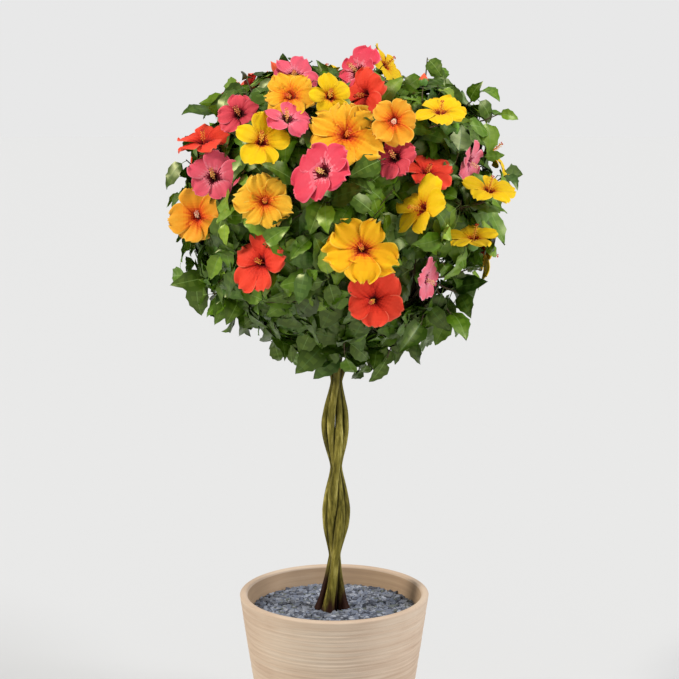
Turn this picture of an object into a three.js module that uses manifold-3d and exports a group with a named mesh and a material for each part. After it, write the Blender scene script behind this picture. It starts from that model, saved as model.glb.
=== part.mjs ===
// A hibiscus grown as a standard: four stems braided into one trunk, a round head of glossy leaves
// and large blooms, in a ribbed clay pot topped with slate chippings.
// Millimetres, +Z up. The origin is the middle of the pot's flat underside and the front is -Y.
import * as THREE from 'three';
import { mergeVertices } from 'three/addons/utils/BufferGeometryUtils.js';
import Module from 'manifold-3d';

const wasm = await Module();
wasm.setup();

// Pot and what fills it
const pot = {
  height: 340, rimRadius: 190.5, footRadius: 139, bulge: 0.1,
  wall: 15.4, floor: 18, lip: 5, footBevel: 4, sides: 36, wallSteps: 3,
};
const ground = 303;
const chippingsDepth = 22;
const fillingGap = 1.2;
const clearance = 0.3;
const weld = 1e-3;

// Braided trunk, with heights above the ground
const braid = {
  footTurn: -35, pinches: [108, 292, 466], top: 545, topTurn: 375,
  innerRadius: 8.1, innerAhead: 4, outerGap: 6, outerBow: 14.4, outerBehind: 19.5, lobeBehind: 5,
  forward: 6, footSpread: 0.75, footBow: 10, topSpread: 1.5, topBow: 3.75, topForward: 0.55, buried: 16,
  stemRadius: 7.9, outerStemRadius: 5.7, lobeThicker: 1.9, topRadius: 5.6,
  flare: 4.4, outerFlare: 7, flareHeight: 26, bowPower: 1.4, topPower: 1.2, sides: 8, steps: 23,
};
// How far the braid's middle stands to the right, from the ground to the head
const leanHeights = [0, 108, 201, 292, 382, 466, 545];
const leanOffsets = [-5, 1, 4, 4, 1.5, 4.5, 9];

// Head of foliage
const head = { across: 13, height: 1112, reach: new THREE.Vector3(308, 300, 285), shoulder: 0.06 };
const innerShell = 0.4;
const massRings = [
  { part: 'top', rise: 90, count: 1, turn: 0 },
  { part: 'upper', rise: 42, count: 5, turn: 20 },
  { part: 'middle', rise: 2, count: 7, turn: 0 },
  { part: 'lower', rise: -38, count: 5, turn: 0 },
];
const bough = {
  baseRadius: 5.2, tipRadius: 3.6, sideShare: 0.86, sides: 5, steps: 5,
  spacing: 0.15, firstFork: 0.06, lowLean: 0.3, lean: 0.38, alongLeader: 0.5,
};
// The stem of a mass, and the part of it from which its shoots leave
const massStem = { length: 0.34, baseRadius: 4.4, tipRadius: 3.2, firstShoot: 0.3, shootSpan: 0.66 };
const twig = {
  count: 100, baseRadius: 3.2, tipRadius: 2.8, nearest: 0.8, spread: 0.1, lowest: -0.95, apart: 0.27,
};
// The side of the head where shoots are few
const leanPart = { fromTurn: 52, toTurn: 128, fromRise: -42, toRise: -10, skipped: 0.5 };
const leaf = {
  length: 104, width: 70, smallest: 0.9, range: 0.2, widest: 0.42, thickness: 1.6, fold: 7, droop: 9,
  tilts: [60, 72, 48, 66], tipTilt: 24, sag: 0.3, faceLift: 0.3, rootInset: 0.6,
  perTwig: 5, tries: 20, tipTries: 3, limit: 1.12,
};
// Where the leaves of a shoot begin and end along it
const leafyPart = { shoot: [0.6, 0.985], bloomShoot: [0.4, 0.84] };
const goldenAngle = Math.PI * (3 - Math.sqrt(5));
// A direction shorter than this has no sure way to point
const nearlyNone = 0.05;
// How far a mass's leaves keep from the flat sides of its cone, as a share of the head's reach
const edgeMargin = 0.006;

// Long shoots that stand out of the head: where each points, and how far its last leaf reaches as a share
// of the head's own reach
const strayShoots = [
  { turn: 84, rise: 58, reach: 1.14 },
  { turn: 84, rise: 35, reach: 1.22 },
  { turn: 84, rise: 13, reach: 1.19 },
  { turn: 80, rise: -26, reach: 1.12 },
  { turn: -84, rise: 12, reach: 1.2 },
  { turn: -81, rise: -26, reach: 1.17 },
  { turn: -85, rise: 36, reach: 1.16 },
  { turn: 4, rise: -68, reach: 1.24 },
  { turn: 24, rise: -64, reach: 1.24 },
  { turn: 58, rise: -62, reach: 1.2 },
  { turn: -20, rise: -66, reach: 1.2 },
];
const strayLeafReach = 0.27;
const strayTolerance = 0.02;
// The numbers from which the shoots of blooms and strays count their chances
const bloomSeed = 900;
const straySeed = 500;

// Blooms. Each kind has its own colour and size; throat is how deep the funnel is.
const bloomKinds = {
  yellow: { colour: 0xf2c81a, radius: 53, throat: 24 },
  gold: { colour: 0xf0a828, radius: 60, throat: 16 },
  apricot: { colour: 0xf39a2e, radius: 50, throat: 24 },
  pink: { colour: 0xe8506e, radius: 55, throat: 26 },
  crimson: { colour: 0xc22848, radius: 46, throat: 24 },
  scarlet: { colour: 0xe23a26, radius: 57, throat: 24 },
};
const bloomBody = {
  petals: 5, notch: 0.72, shoulder: 0.97, shoulderTurn: 0.23, collar: 0.42, collarDepth: 0.36, rimLift: 5,
  back: 30, footInset: 4, column: 46, columnRadius: 4, calyxRadius: 7,
};
// The blooms of the front half: where each sits on the head in degrees, how far out, its radius in mm, and
// the turn and rise that it looks towards
const frontBlooms = [
  { kind: 'pink', turn: -6, rise: 16, out: 1.08, radius: 57, look: [-36, 26] },
  { kind: 'gold', turn: 2, rise: 32, out: 0.94, radius: 60, look: [6, 30] },
  { kind: 'gold', turn: 7, rise: -10, out: 1.02, radius: 57, look: [4, 16] },
  { kind: 'gold', turn: -26, rise: 6, out: 1.01, radius: 46, look: [-8, 8] },
  { kind: 'gold', turn: -25, rise: 47, out: 0.98, radius: 45, look: [-8, 34] },
  { kind: 'yellow', turn: -27, rise: 26, out: 1.06, radius: 49, look: [20, 26] },
  { kind: 'yellow', turn: -5, rise: 47, out: 0.97, radius: 38, look: [12, 16] },
  { kind: 'yellow', turn: 26, rise: 4, out: 1.03, radius: 55, look: [-52, 26] },
  { kind: 'yellow', turn: 55, rise: 9, out: 1.08, radius: 46, look: [24, 60] },
  { kind: 'yellow', turn: 49, rise: -7, out: 1.04, radius: 47, look: [-8, 72] },
  { kind: 'yellow', turn: 41, rise: 37, out: 1.05, radius: 47, look: [-6, 62] },
  { kind: 'apricot', turn: 20, rise: 34, out: 1.03, radius: 38, look: [4, 6] },
  { kind: 'apricot', turn: -60, rise: -1, out: 1.0, radius: 47, look: [-12, 12] },
  { kind: 'scarlet', turn: -31, rise: -17, out: 0.97, radius: 54, look: [-36, 12] },
  { kind: 'scarlet', turn: 13, rise: -31, out: 1.01, radius: 51, look: [2, 4] },
  { kind: 'scarlet', turn: 34, rise: 18, out: 0.92, radius: 46, look: [22, 56] },
  { kind: 'scarlet', turn: 13, rise: 52, out: 0.92, radius: 44, look: [-48, 12] },
  { kind: 'scarlet', turn: -61, rise: 27, out: 1.02, radius: 49, look: [-25, 62] },
  { kind: 'pink', turn: -50, rise: 14, out: 1.0, radius: 45, look: [-10, 24] },
  { kind: 'pink', turn: -21, rise: 36, out: 1.0, radius: 42, look: [24, 48] },
  { kind: 'pink', turn: 35, rise: 80, out: 0.93, radius: 46, look: [-35, 35] },
  { kind: 'yellow', turn: 100, rise: 73, out: 0.99, radius: 42, look: [60, 30] },
  { kind: 'pink', turn: -42, rise: 65, out: 0.95, radius: 40, look: [20, 34] },
  { kind: 'pink', turn: 60, rise: 20, out: 0.94, radius: 40, look: [62, -12] },
  { kind: 'pink', turn: 35, rise: -24, out: 0.98, radius: 38, look: [66, -8] },
  { kind: 'crimson', turn: 20, rise: 23, out: 0.94, radius: 38, look: [-24, 22] },
  { kind: 'crimson', turn: -52, rise: 40, out: 0.95, radius: 38, look: [-10, 30] },
];
// The rest of the head gets blooms by a rule, none of them low down or in front
const otherBlooms = {
  spots: 62, out: 1.0, up: 0.2, lowest: -0.55, frontEdge: -0.08, apart: 0.44,
  order: ['yellow', 'scarlet', 'gold', 'pink', 'apricot', 'yellow', 'crimson', 'gold', 'scarlet', 'pink'],
};
// A bloom that meets another is pushed into the head by steps
const bloomPush = { step: 0.035, most: 5 };

const up = new THREE.Vector3(0, 0, 1);
const headCentre = new THREE.Vector3(head.across, 0, head.height);

// A number from 0 to 1 that is always the same for the same two seeds
function chance(a, b) {
  const s = Math.sin(a * 127.1 + b * 311.7 + 17.3) * 43758.5453;
  return s - Math.floor(s);
}

// The unit direction at a turn from the front towards the right, and a rise above the level
function direction(turn, rise) {
  const t = THREE.MathUtils.degToRad(turn);
  const r = THREE.MathUtils.degToRad(rise);
  return new THREE.Vector3(Math.cos(r) * Math.sin(t), -Math.cos(r) * Math.cos(t), Math.sin(r));
}

// The head is a ball with broad shoulders: how far it swells in a direction
function swell(dir) {
  return dir.z > 0 ? 1 + head.shoulder * 4 * dir.z ** 2 * (1 - dir.z ** 2) : 1;
}

// The point of the head in a direction, at a share of its reach
function headPoint(dir, share) {
  return dir.clone().multiply(head.reach).multiplyScalar(share * swell(dir)).add(headCentre);
}

// The share of the head's reach at which a point lies
function headShare(point) {
  const scaled = point.clone().sub(headCentre).divide(head.reach);
  return scaled.length() / swell(scaled.clone().normalize());
}

// The head's outward normal there
function headNormal(dir) {
  return dir.clone().divide(head.reach).normalize();
}

// Evenly spread direction number i of n on a ball
function spreadDirection(i, n) {
  const z = 1 - (2 * i + 1) / n;
  const ring = Math.sqrt(1 - z * z);
  return new THREE.Vector3(ring * Math.sin(goldenAngle * i), -ring * Math.cos(goldenAngle * i), z);
}

// Straight-line interpolation in a list of stations
function between(stations, values, at) {
  let i = 0;
  while (i < stations.length - 2 && at > stations[i + 1]) i += 1;
  const share = (at - stations[i]) / (stations[i + 1] - stations[i]);
  return values[i] + share * (values[i + 1] - values[i]);
}

function solidOf(geometry) {
  const plain = geometry.index ? geometry.toNonIndexed() : geometry.clone();
  plain.deleteAttribute('normal');
  plain.deleteAttribute('uv');
  const merged = mergeVertices(plain, weld);
  return new wasm.Manifold(new wasm.Mesh({
    numProp: 3,
    vertProperties: merged.attributes.position.array,
    triVerts: new Uint32Array(merged.index.array),
  }));
}

function largest(solid) {
  const bodies = solid.decompose();
  bodies.sort((a, b) => b.volume() - a.volume());
  return bodies[0];
}

function overlapping(a, b) {
  const [p, q] = [a.boundingBox(), b.boundingBox()];
  for (let k = 0; k < 3; k += 1) {
    if (p.min[k] > q.max[k] || q.min[k] > p.max[k]) return false;
  }
  return !a.intersect(b).isEmpty();
}

// A solid with another cut out of it where they meet
function clearOf(solid, other) {
  return overlapping(solid, other) ? largest(solid.subtract(other)) : solid;
}

const hibiscus = new THREE.Group();
hibiscus.name = 'hibiscus_standard';

function addPiece(name, solid, material) {
  const data = solid.getMesh();
  const geometry = new THREE.BufferGeometry();
  geometry.setAttribute('position', new THREE.BufferAttribute(new Float32Array(data.vertProperties), 3));
  geometry.setIndex(new THREE.BufferAttribute(new Uint32Array(data.triVerts), 1));
  geometry.computeVertexNormals();
  const mesh = new THREE.Mesh(geometry, material);
  mesh.name = name;
  hibiscus.add(mesh);
}

const clay = new THREE.MeshStandardMaterial({ color: 0xcdb193, roughness: 0.9 });
const slate = new THREE.MeshStandardMaterial({ color: 0x7d8391, roughness: 0.85 });
const compost = new THREE.MeshStandardMaterial({ color: 0x3b2c22, roughness: 1 });
const bark = new THREE.MeshStandardMaterial({ color: 0x77703a, roughness: 0.75 });
const greenBark = new THREE.MeshStandardMaterial({ color: 0x5d5733, roughness: 0.8 });
const foliage = new THREE.MeshStandardMaterial({ color: 0x3f6b2a, roughness: 0.45 });

// Pot: outer and inner wall by one rule, with a rounded lip
function potRadius(z) {
  const t = z / pot.height;
  return pot.footRadius + (pot.rimRadius - pot.footRadius) * (t + pot.bulge * t * (1 - t));
}

function boreRadius(z) {
  return potRadius(z) - pot.wall;
}

function turned(profile) {
  return solidOf(new THREE.LatheGeometry(profile, pot.sides).rotateX(Math.PI / 2));
}

function makePot() {
  const profile = [new THREE.Vector2(0, 0), new THREE.Vector2(pot.footRadius - pot.footBevel, 0)];
  for (let i = 0; i <= pot.wallSteps; i += 1) {
    const z = pot.footBevel + (pot.height - pot.lip - pot.footBevel) * (i / pot.wallSteps);
    profile.push(new THREE.Vector2(potRadius(z), z));
  }
  profile.push(new THREE.Vector2(pot.rimRadius - pot.lip, pot.height));
  profile.push(new THREE.Vector2(boreRadius(pot.height) + pot.lip, pot.height));
  profile.push(new THREE.Vector2(boreRadius(pot.height - pot.lip), pot.height - pot.lip));
  profile.push(new THREE.Vector2(boreRadius(pot.height / 2), pot.height / 2));
  profile.push(new THREE.Vector2(boreRadius(pot.floor), pot.floor));
  profile.push(new THREE.Vector2(0, pot.floor));
  return turned(profile);
}

// A filling of the pot's inside between two heights, clear of the bore's straight runs
function filling(low, high) {
  return turned([
    new THREE.Vector2(0, low), new THREE.Vector2(boreRadius(low) - fillingGap, low),
    new THREE.Vector2(boreRadius(high) - fillingGap, high), new THREE.Vector2(0, high),
  ]);
}

// A tapering limb: a closed cylinder whose rings are moved onto a curve
function limb(curve, radiusAt, sides, steps) {
  const geometry = new THREE.CylinderGeometry(1, 1, 1, sides, steps);
  const frames = curve.computeFrenetFrames(steps);
  const position = geometry.attributes.position;
  const point = new THREE.Vector3();
  for (let i = 0; i < position.count; i += 1) {
    const step = Math.round((position.getY(i) + 0.5) * steps);
    curve.getPointAt(step / steps, point);
    const radius = radiusAt(step / steps, point);
    point.addScaledVector(frames.normals[step], radius * position.getX(i));
    point.addScaledVector(frames.binormals[step], -radius * position.getZ(i));
    position.setXYZ(i, point.x, point.y, point.z);
  }
  const made = solidOf(geometry);
  return made.volume() < 0 ? solidOf(flipped(geometry)) : made;
}

function flipped(geometry) {
  const index = geometry.index;
  for (let i = 0; i < index.count; i += 3) {
    const first = index.getX(i);
    index.setX(i, index.getX(i + 1));
    index.setX(i + 1, first);
  }
  return geometry;
}

// The braid. The inner pair wind round each other. The outer pair bow out at each lobe of the braid
// and meet behind the others at each pinch.
const stemPlan = {
  stem_front: { inner: 1, side: 0, turn: 0 },
  stem_right: { inner: 0, side: 1, turn: 90 },
  stem_left: { inner: 0, side: -1, turn: 270 },
  stem_back: { inner: -1, side: 0, turn: 180 },
};

const braidTurns = [braid.footTurn, 0, 180, 360, braid.topTurn];

// How far the inner pair has turned at a height, and how far the braid is bowed open there:
// 0 at a pinch, 1 at the middle of a lobe
function braidTurn(height) {
  const turn = between([0, ...braid.pinches, braid.top], braidTurns, height);
  const angle = THREE.MathUtils.degToRad(turn);
  return { angle, bow: Math.abs(Math.sin(angle)) ** braid.bowPower };
}

function stemPoint(plan, height) {
  const low = braid.pinches[0];
  const high = braid.pinches[2];
  const { angle, bow } = braidTurn(height);
  const foot = Math.max(0, (low - height) / low);
  const top = Math.max(0, (height - high) / (braid.top - high));
  const lobe = bow * (1 - top);
  const x = between(leanHeights, leanOffsets, height);
  const forward = -braid.forward * (1 - bow) * (1 - foot) * (1 - top);
  if (plan.inner) {
    const spread = 1 + braid.footSpread * foot * foot + braid.topSpread * top;
    const radius = plan.inner * braid.innerRadius * spread;
    const y = forward - radius * Math.cos(angle) - braid.innerAhead * lobe;
    return new THREE.Vector3(x + radius * Math.sin(angle), y, ground + height);
  }
  const opened = 1 + braid.topBow * top ** braid.topPower;
  const across = (braid.outerGap + braid.outerBow * bow + braid.footBow * foot) * opened;
  const tucked = (1 - bow) * (1 - foot) * (1 - braid.topForward * top);
  const behind = braid.outerBehind * tucked + braid.lobeBehind * lobe;
  return new THREE.Vector3(x + plan.side * across, forward + behind, ground + height);
}

function stemRadius(plan, height) {
  const outer = braid.outerStemRadius + braid.lobeThicker * braidTurn(height).bow;
  const own = plan.inner ? braid.stemRadius : outer;
  const share = Math.max(0, height) / braid.top;
  const flare = plan.inner ? braid.flare : braid.outerFlare;
  const flared = flare * Math.exp(-Math.max(0, height) / braid.flareHeight);
  return own + (braid.topRadius - own) * share * share + flared;
}

// Everything below the ground is cut off the stems, so that each stands on it with a flat foot
const cutBlock = { across: 400, deep: 200 };
const underGround = solidOf(new THREE.BoxGeometry(cutBlock.across, cutBlock.across, cutBlock.deep)
  .translate(0, 0, ground + clearance - cutBlock.deep / 2));
const stems = {};
const limbs = [];
for (const [name, plan] of Object.entries(stemPlan)) {
  const points = [];
  for (let i = 0; i <= braid.steps; i += 1) {
    points.push(stemPoint(plan, -braid.buried + ((braid.top + braid.buried) * i) / braid.steps));
  }
  const curve = new THREE.CatmullRomCurve3(points);
  const radiusAt = (t, point) => stemRadius(plan, point.z - ground);
  let solid = limb(curve, radiusAt, braid.sides, braid.steps).subtract(underGround);
  for (const other of limbs) solid = clearOf(solid, other.swollen);
  const swollen = limb(curve, (t, point) => radiusAt(t, point) + clearance, braid.sides, braid.steps);
  limbs.push({ name, solid, swollen });
  stems[name] = { tip: curve.getPointAt(1), along: curve.getTangentAt(1), turn: plan.turn };
  addPiece(name, solid, bark);
}

// Masses of foliage: each owns the part of the head that lies nearest its own direction
const masses = [];
for (const ring of massRings) {
  for (let i = 0; i < ring.count; i += 1) {
    const turn = ring.turn + (360 / ring.count) * i;
    const dir = direction(turn, ring.rise);
    const name = ring.count > 1 ? `${ring.part}_${i + 1}` : ring.part;
    const entry = headPoint(dir, innerShell);
    masses.push({ name, dir, turn, rise: ring.rise, normal: headNormal(dir), entry });
  }
}

function nearestMass(dir) {
  return masses.reduce((best, m) => (m.dir.dot(dir) > best.dir.dot(dir) ? m : best));
}

// True where every point lies in the mass's own cone, which has flat sides
function keepsToSpace(mass, points) {
  return points.every((p) => {
    const q = p.clone().sub(headCentre).divide(head.reach);
    return masses.every((other) => other === mass
      || q.dot(mass.dir) - q.dot(other.dir) > edgeMargin * mass.dir.distanceTo(other.dir));
  });
}

// Boughs: each stem carries a leader to its highest mass and side boughs that leave the leader in turn
function stemOf(mass) {
  if (mass.name === 'top') return 'stem_front';
  const gap = (name) => Math.abs(((mass.turn - stems[name].turn + 540) % 360) - 180);
  return Object.keys(stems).reduce((best, name) => (gap(name) < gap(best) ? name : best));
}

function boughCurve(start, startAlong, mass) {
  const length = start.distanceTo(mass.entry);
  const lean = mass.rise < 0 ? bough.lowLean : bough.lean;
  return new THREE.CubicBezierCurve3(
    start,
    start.clone().addScaledVector(startAlong, length * lean),
    mass.entry.clone().addScaledVector(mass.normal, -length * lean),
    mass.entry.clone(),
  );
}

function boughRadius(t) {
  return bough.baseRadius + (bough.tipRadius - bough.baseRadius) * t;
}

for (const name of Object.keys(stems)) {
  const own = masses.filter((m) => stemOf(m) === name).sort((a, b) => b.rise - a.rise);
  let leader = null;
  own.forEach((mass, i) => {
    let start = stems[name].tip.clone().addScaledVector(stems[name].along, clearance);
    let along = stems[name].along.clone();
    if (leader) {
      const fork = bough.firstFork + bough.spacing * (own.length - 1 - i);
      start = leader.getPointAt(fork);
      const towards = mass.entry.clone().sub(start).normalize();
      along = leader.getTangentAt(fork).multiplyScalar(bough.alongLeader).add(towards).normalize();
    }
    const curve = boughCurve(start, along, mass);
    if (!leader) leader = curve;
    const radiusAt = leader === curve ? boughRadius : (t) => boughRadius(t) * bough.sideShare;
    let solid = limb(curve, radiusAt, bough.sides, bough.steps);
    for (const other of limbs) solid = clearOf(solid, other.swollen);
    const swollen = limb(curve, (t) => radiusAt(t) + clearance, bough.sides, bough.steps);
    limbs.push({ name: `bough_${mass.name}`, solid, swollen });
    addPiece(`bough_${mass.name}`, solid, greenBark);
  });
}

// A closed body from its corners and faces
function body(corners, faces) {
  const geometry = new THREE.BufferGeometry().setFromPoints(corners);
  geometry.setIndex(faces.flat());
  const made = solidOf(geometry);
  return made.volume() < 0 ? solidOf(flipped(geometry)) : made;
}

// A straight three-sided twig from one point to another
function twigSolid(from, to, baseRadius, tipRadius) {
  const axis = to.clone().sub(from).normalize();
  const side = new THREE.Vector3().crossVectors(axis, up).normalize();
  const over = new THREE.Vector3().crossVectors(side, axis);
  const ring = (centre, radius) => [90, 210, 330].map((degrees) => {
    const angle = THREE.MathUtils.degToRad(degrees);
    return centre.clone()
      .addScaledVector(side, radius * Math.cos(angle))
      .addScaledVector(over, radius * Math.sin(angle));
  });
  const faces = [[0, 2, 1], [3, 4, 5], [0, 1, 4], [0, 4, 3], [1, 2, 5], [1, 5, 4], [2, 0, 3], [2, 3, 5]];
  return body([...ring(from, baseRadius), ...ring(to, tipRadius)], faces);
}

// A leaf of eight faces, folded a little along its midrib
function leafCorners(base, along, face, length, width) {
  const side = new THREE.Vector3().crossVectors(along, face).normalize();
  const outer = new THREE.Vector3().crossVectors(side, along).normalize();
  const at = (a, s, o) => base.clone()
    .addScaledVector(along, a)
    .addScaledVector(side, s)
    .addScaledVector(outer, o);
  const middle = length * leaf.widest;
  return [
    at(0, 0, 0), at(length, 0, -leaf.droop),
    at(middle, width / 2, leaf.fold), at(middle, -width / 2, leaf.fold),
    at(middle, 0, leaf.thickness), at(middle, 0, -leaf.thickness),
  ];
}
const leafFaces = [
  [0, 2, 4], [2, 1, 4], [1, 3, 4], [3, 0, 4],
  [2, 0, 5], [1, 2, 5], [3, 1, 5], [0, 3, 5],
];

// A bloom: a dish with five notched lobes, its back drawn in to the calyx, and a slim column in front
function bloomSolid(centre, facing, kind, reach, roll) {
  const side = new THREE.Vector3().crossVectors(up, facing);
  if (side.length() < nearlyNone) side.set(1, 0, 0);
  side.normalize();
  const over = new THREE.Vector3().crossVectors(facing, side).normalize();
  const at = (radius, angle, out) => centre.clone()
    .addScaledVector(side, radius * Math.cos(angle))
    .addScaledVector(over, radius * Math.sin(angle))
    .addScaledVector(facing, out);
  const { petals } = bloomBody;
  const corners = [at(0, 0, bloomBody.column - kind.throat)];
  for (let i = 0; i < petals; i += 1) {
    const angle = roll + (2 * Math.PI * i) / petals;
    const wave = bloomBody.rimLift * (i % 2 ? 1 : -1);
    corners.push(at(bloomBody.columnRadius, angle + Math.PI / petals, -kind.throat));
    corners.push(at(reach * bloomBody.collar, angle, -kind.throat * bloomBody.collarDepth));
    corners.push(at(reach * bloomBody.notch, angle - Math.PI / petals, 0));
    corners.push(at(reach * bloomBody.shoulder, angle - bloomBody.shoulderTurn, wave));
    corners.push(at(reach, angle + bloomBody.shoulderTurn, -wave));
    corners.push(at(bloomBody.calyxRadius, angle, -bloomBody.back));
  }
  const faces = [];
  for (let i = 0; i < petals; i += 1) {
    const [eye, collar, notch, left, right, calyx] = [0, 1, 2, 3, 4, 5].map((k) => 1 + 6 * i + k);
    const [nextEye, nextCollar, nextNotch] = [0, 1, 2].map((k) => 1 + 6 * ((i + 1) % petals) + k);
    const nextCalyx = nextEye + 5;
    faces.push([0, eye, nextEye], [eye, nextCollar, nextEye], [eye, collar, nextCollar]);
    faces.push([collar, notch, left], [collar, left, right], [collar, right, nextNotch]);
    faces.push([collar, nextNotch, nextCollar]);
    faces.push([calyx, left, notch], [calyx, right, left]);
    faces.push([calyx, nextNotch, right], [calyx, nextCalyx, nextNotch]);
  }
  const calyxRing = [0, 1, 2, 3, 4].map((i) => 6 + 6 * i);
  faces.push([calyxRing[0], calyxRing[2], calyxRing[1]], [calyxRing[0], calyxRing[3], calyxRing[2]]);
  faces.push([calyxRing[0], calyxRing[4], calyxRing[3]]);
  return body(corners, faces);
}

// Every bloom with its place and its facing
function planBlooms() {
  const plans = frontBlooms.map((bloom) => (
    { ...bloom, dir: direction(bloom.turn, bloom.rise), facing: direction(...bloom.look) }));
  let dealt = 0;
  for (let i = 0; i < otherBlooms.spots; i += 1) {
    const dir = spreadDirection(i, otherBlooms.spots);
    const inFront = dir.y < otherBlooms.frontEdge;
    const crowded = plans.some((b) => b.dir.distanceTo(dir) < otherBlooms.apart);
    if (dir.z < otherBlooms.lowest || inFront || crowded) continue;
    const kind = otherBlooms.order[dealt % otherBlooms.order.length];
    const facing = headNormal(dir).addScaledVector(up, otherBlooms.up).normalize();
    plans.push({ kind, dir, out: otherBlooms.out, radius: bloomKinds[kind].radius, facing });
    dealt += 1;
  }
  return plans;
}

// A bloom that meets one planned before it sits a little deeper in the head, and is left out if it still does
const blooms = [];
planBlooms().forEach((plan, i) => {
  const { dir, facing } = plan;
  for (let pushed = 0; pushed < bloomPush.most; pushed += 1) {
    const centre = headPoint(dir, plan.out - bloomPush.step * pushed);
    const solid = bloomSolid(centre, facing, bloomKinds[plan.kind], plan.radius, 2 * Math.PI * chance(i, 5));
    if (blooms.some((b) => overlapping(b.solid, solid))) continue;
    const foot = centre.clone().addScaledVector(facing, bloomBody.footInset - bloomBody.back);
    blooms.push({ solid, centre, foot, mass: nearestMass(dir), dir, seed: bloomSeed + i });
    break;
  }
});

// Leafy shoots: the strays, then tips spread evenly over the head wherever no bloom sits
const tips = strayShoots.map(({ turn, rise, reach }, i) => ({
  dir: direction(turn, rise),
  share: reach - strayLeafReach,
  limit: reach + strayTolerance,
  seed: straySeed + i,
}));

// True for about half of the shoots on the side where they are few
function isLean(dir, i) {
  const turn = THREE.MathUtils.radToDeg(Math.atan2(dir.x, -dir.y));
  const rise = THREE.MathUtils.radToDeg(Math.asin(dir.z));
  const inPart = turn > leanPart.fromTurn && turn < leanPart.toTurn
    && rise > leanPart.fromRise && rise < leanPart.toRise;
  return inPart && chance(i, 95) < leanPart.skipped;
}

for (let i = 0; i < twig.count; i += 1) {
  const dir = spreadDirection(i, twig.count);
  const underBloom = blooms.some((b) => b.dir.distanceTo(dir) < twig.apart);
  if (dir.z < twig.lowest || underBloom || isLean(dir, i)) continue;
  tips.push({ dir, share: twig.nearest + twig.spread * chance(i, 1), limit: leaf.limit, seed: i });
}

function clearOfOthers(mass, solid) {
  if (blooms.some((b) => b.mass !== mass && overlapping(b.solid, solid))) return false;
  return !limbs.some((l) => overlapping(l.swollen, solid));
}

// The shoots of a mass leave its stem one after another, those that spread widest lowest down
function planShoots(mass) {
  const shoots = [];
  for (const tip of tips.filter((one) => nearestMass(one.dir) === mass)) {
    shoots.push({ ...tip, to: headPoint(tip.dir, tip.share), nodes: leafyPart.shoot, terminal: true });
  }
  for (const bloom of blooms.filter((one) => one.mass === mass)) {
    const { dir, foot, seed, solid } = bloom;
    shoots.push({ dir, to: foot, nodes: leafyPart.bloomShoot, limit: leaf.limit, seed, solid });
  }
  shoots.sort((a, b) => a.dir.dot(mass.dir) - b.dir.dot(mass.dir));
  shoots.forEach((shoot, i) => {
    const alongStem = massStem.firstShoot + massStem.shootSpan * ((i + 0.5) / shoots.length);
    shoot.from = headPoint(mass.dir, innerShell + massStem.length * alongStem);
    shoot.wood = twigSolid(shoot.from, shoot.to, twig.baseRadius, twig.tipRadius);
    shoot.axis = shoot.to.clone().sub(shoot.from).normalize();
  });
  return shoots.filter((shoot) => {
    if (shoot.solid) return true;
    const crossesBloom = shoots.some((other) => other.solid && overlapping(other.solid, shoot.wood));
    return !crossesBloom && keepsToSpace(mass, [shoot.from, shoot.to]) && clearOfOthers(mass, shoot.wood);
  });
}

// Where the middle of each blade and bloom lies, so that new leaves go where the head is still bare
const covered = blooms.map((b) => b.centre.clone());

// Every way a leaf could sit at one place on a shoot, the barest spot first
function leafSeats(mass, shoot, k) {
  const first = new THREE.Vector3().crossVectors(shoot.axis, up).normalize();
  const second = new THREE.Vector3().crossVectors(shoot.axis, first).normalize();
  const atTip = shoot.terminal && k === leaf.perTwig - 1;
  const [low, high] = shoot.nodes;
  const seat = shoot.from.clone().lerp(shoot.to, low + (high - low) * (k / (leaf.perTwig - 1)));
  const seats = [];
  for (let attempt = 0; attempt < leaf.tries; attempt += 1) {
    const upright = atTip && attempt < leaf.tipTries;
    const tilt = THREE.MathUtils.degToRad(upright ? leaf.tipTilt : leaf.tilts[attempt % leaf.tilts.length]);
    const turn = 2 * Math.PI * (attempt / leaf.tries + chance(shoot.seed, 2 + k));
    const along = shoot.axis.clone().multiplyScalar(Math.cos(tilt))
      .addScaledVector(first, Math.sin(tilt) * Math.cos(turn))
      .addScaledVector(second, Math.sin(tilt) * Math.sin(turn));
    along.z -= leaf.sag;
    along.normalize();
    const face = headNormal(shoot.dir).addScaledVector(up, leaf.faceLift);
    face.addScaledVector(along, -face.dot(along));
    if (face.length() < nearlyNone) face.copy(first);
    const size = leaf.smallest + leaf.range * chance(shoot.seed, 10 + k);
    const base = seat.clone().addScaledVector(along, leaf.rootInset);
    const corners = leafCorners(base, along, face, leaf.length * size, leaf.width * size);
    if (headShare(corners[1]) > shoot.limit || !keepsToSpace(mass, corners)) continue;
    const middle = base.clone().lerp(corners[1], 0.5);
    const room = Math.min(...covered.map((other) => other.distanceTo(middle)));
    seats.push({ corners, middle, room });
  }
  return seats.sort((a, b) => b.room - a.room);
}

// The leaf takes the barest seat that touches nothing but its own shoot
function seatLeaf(mass, shoot, k, taken) {
  for (const seat of leafSeats(mass, shoot, k)) {
    const blade = body(seat.corners, leafFaces);
    if (taken.some((other) => other !== shoot.wood && overlapping(other, blade))) continue;
    if (!clearOfOthers(mass, blade)) continue;
    covered.push(seat.middle);
    return blade;
  }
  return null;
}

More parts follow.
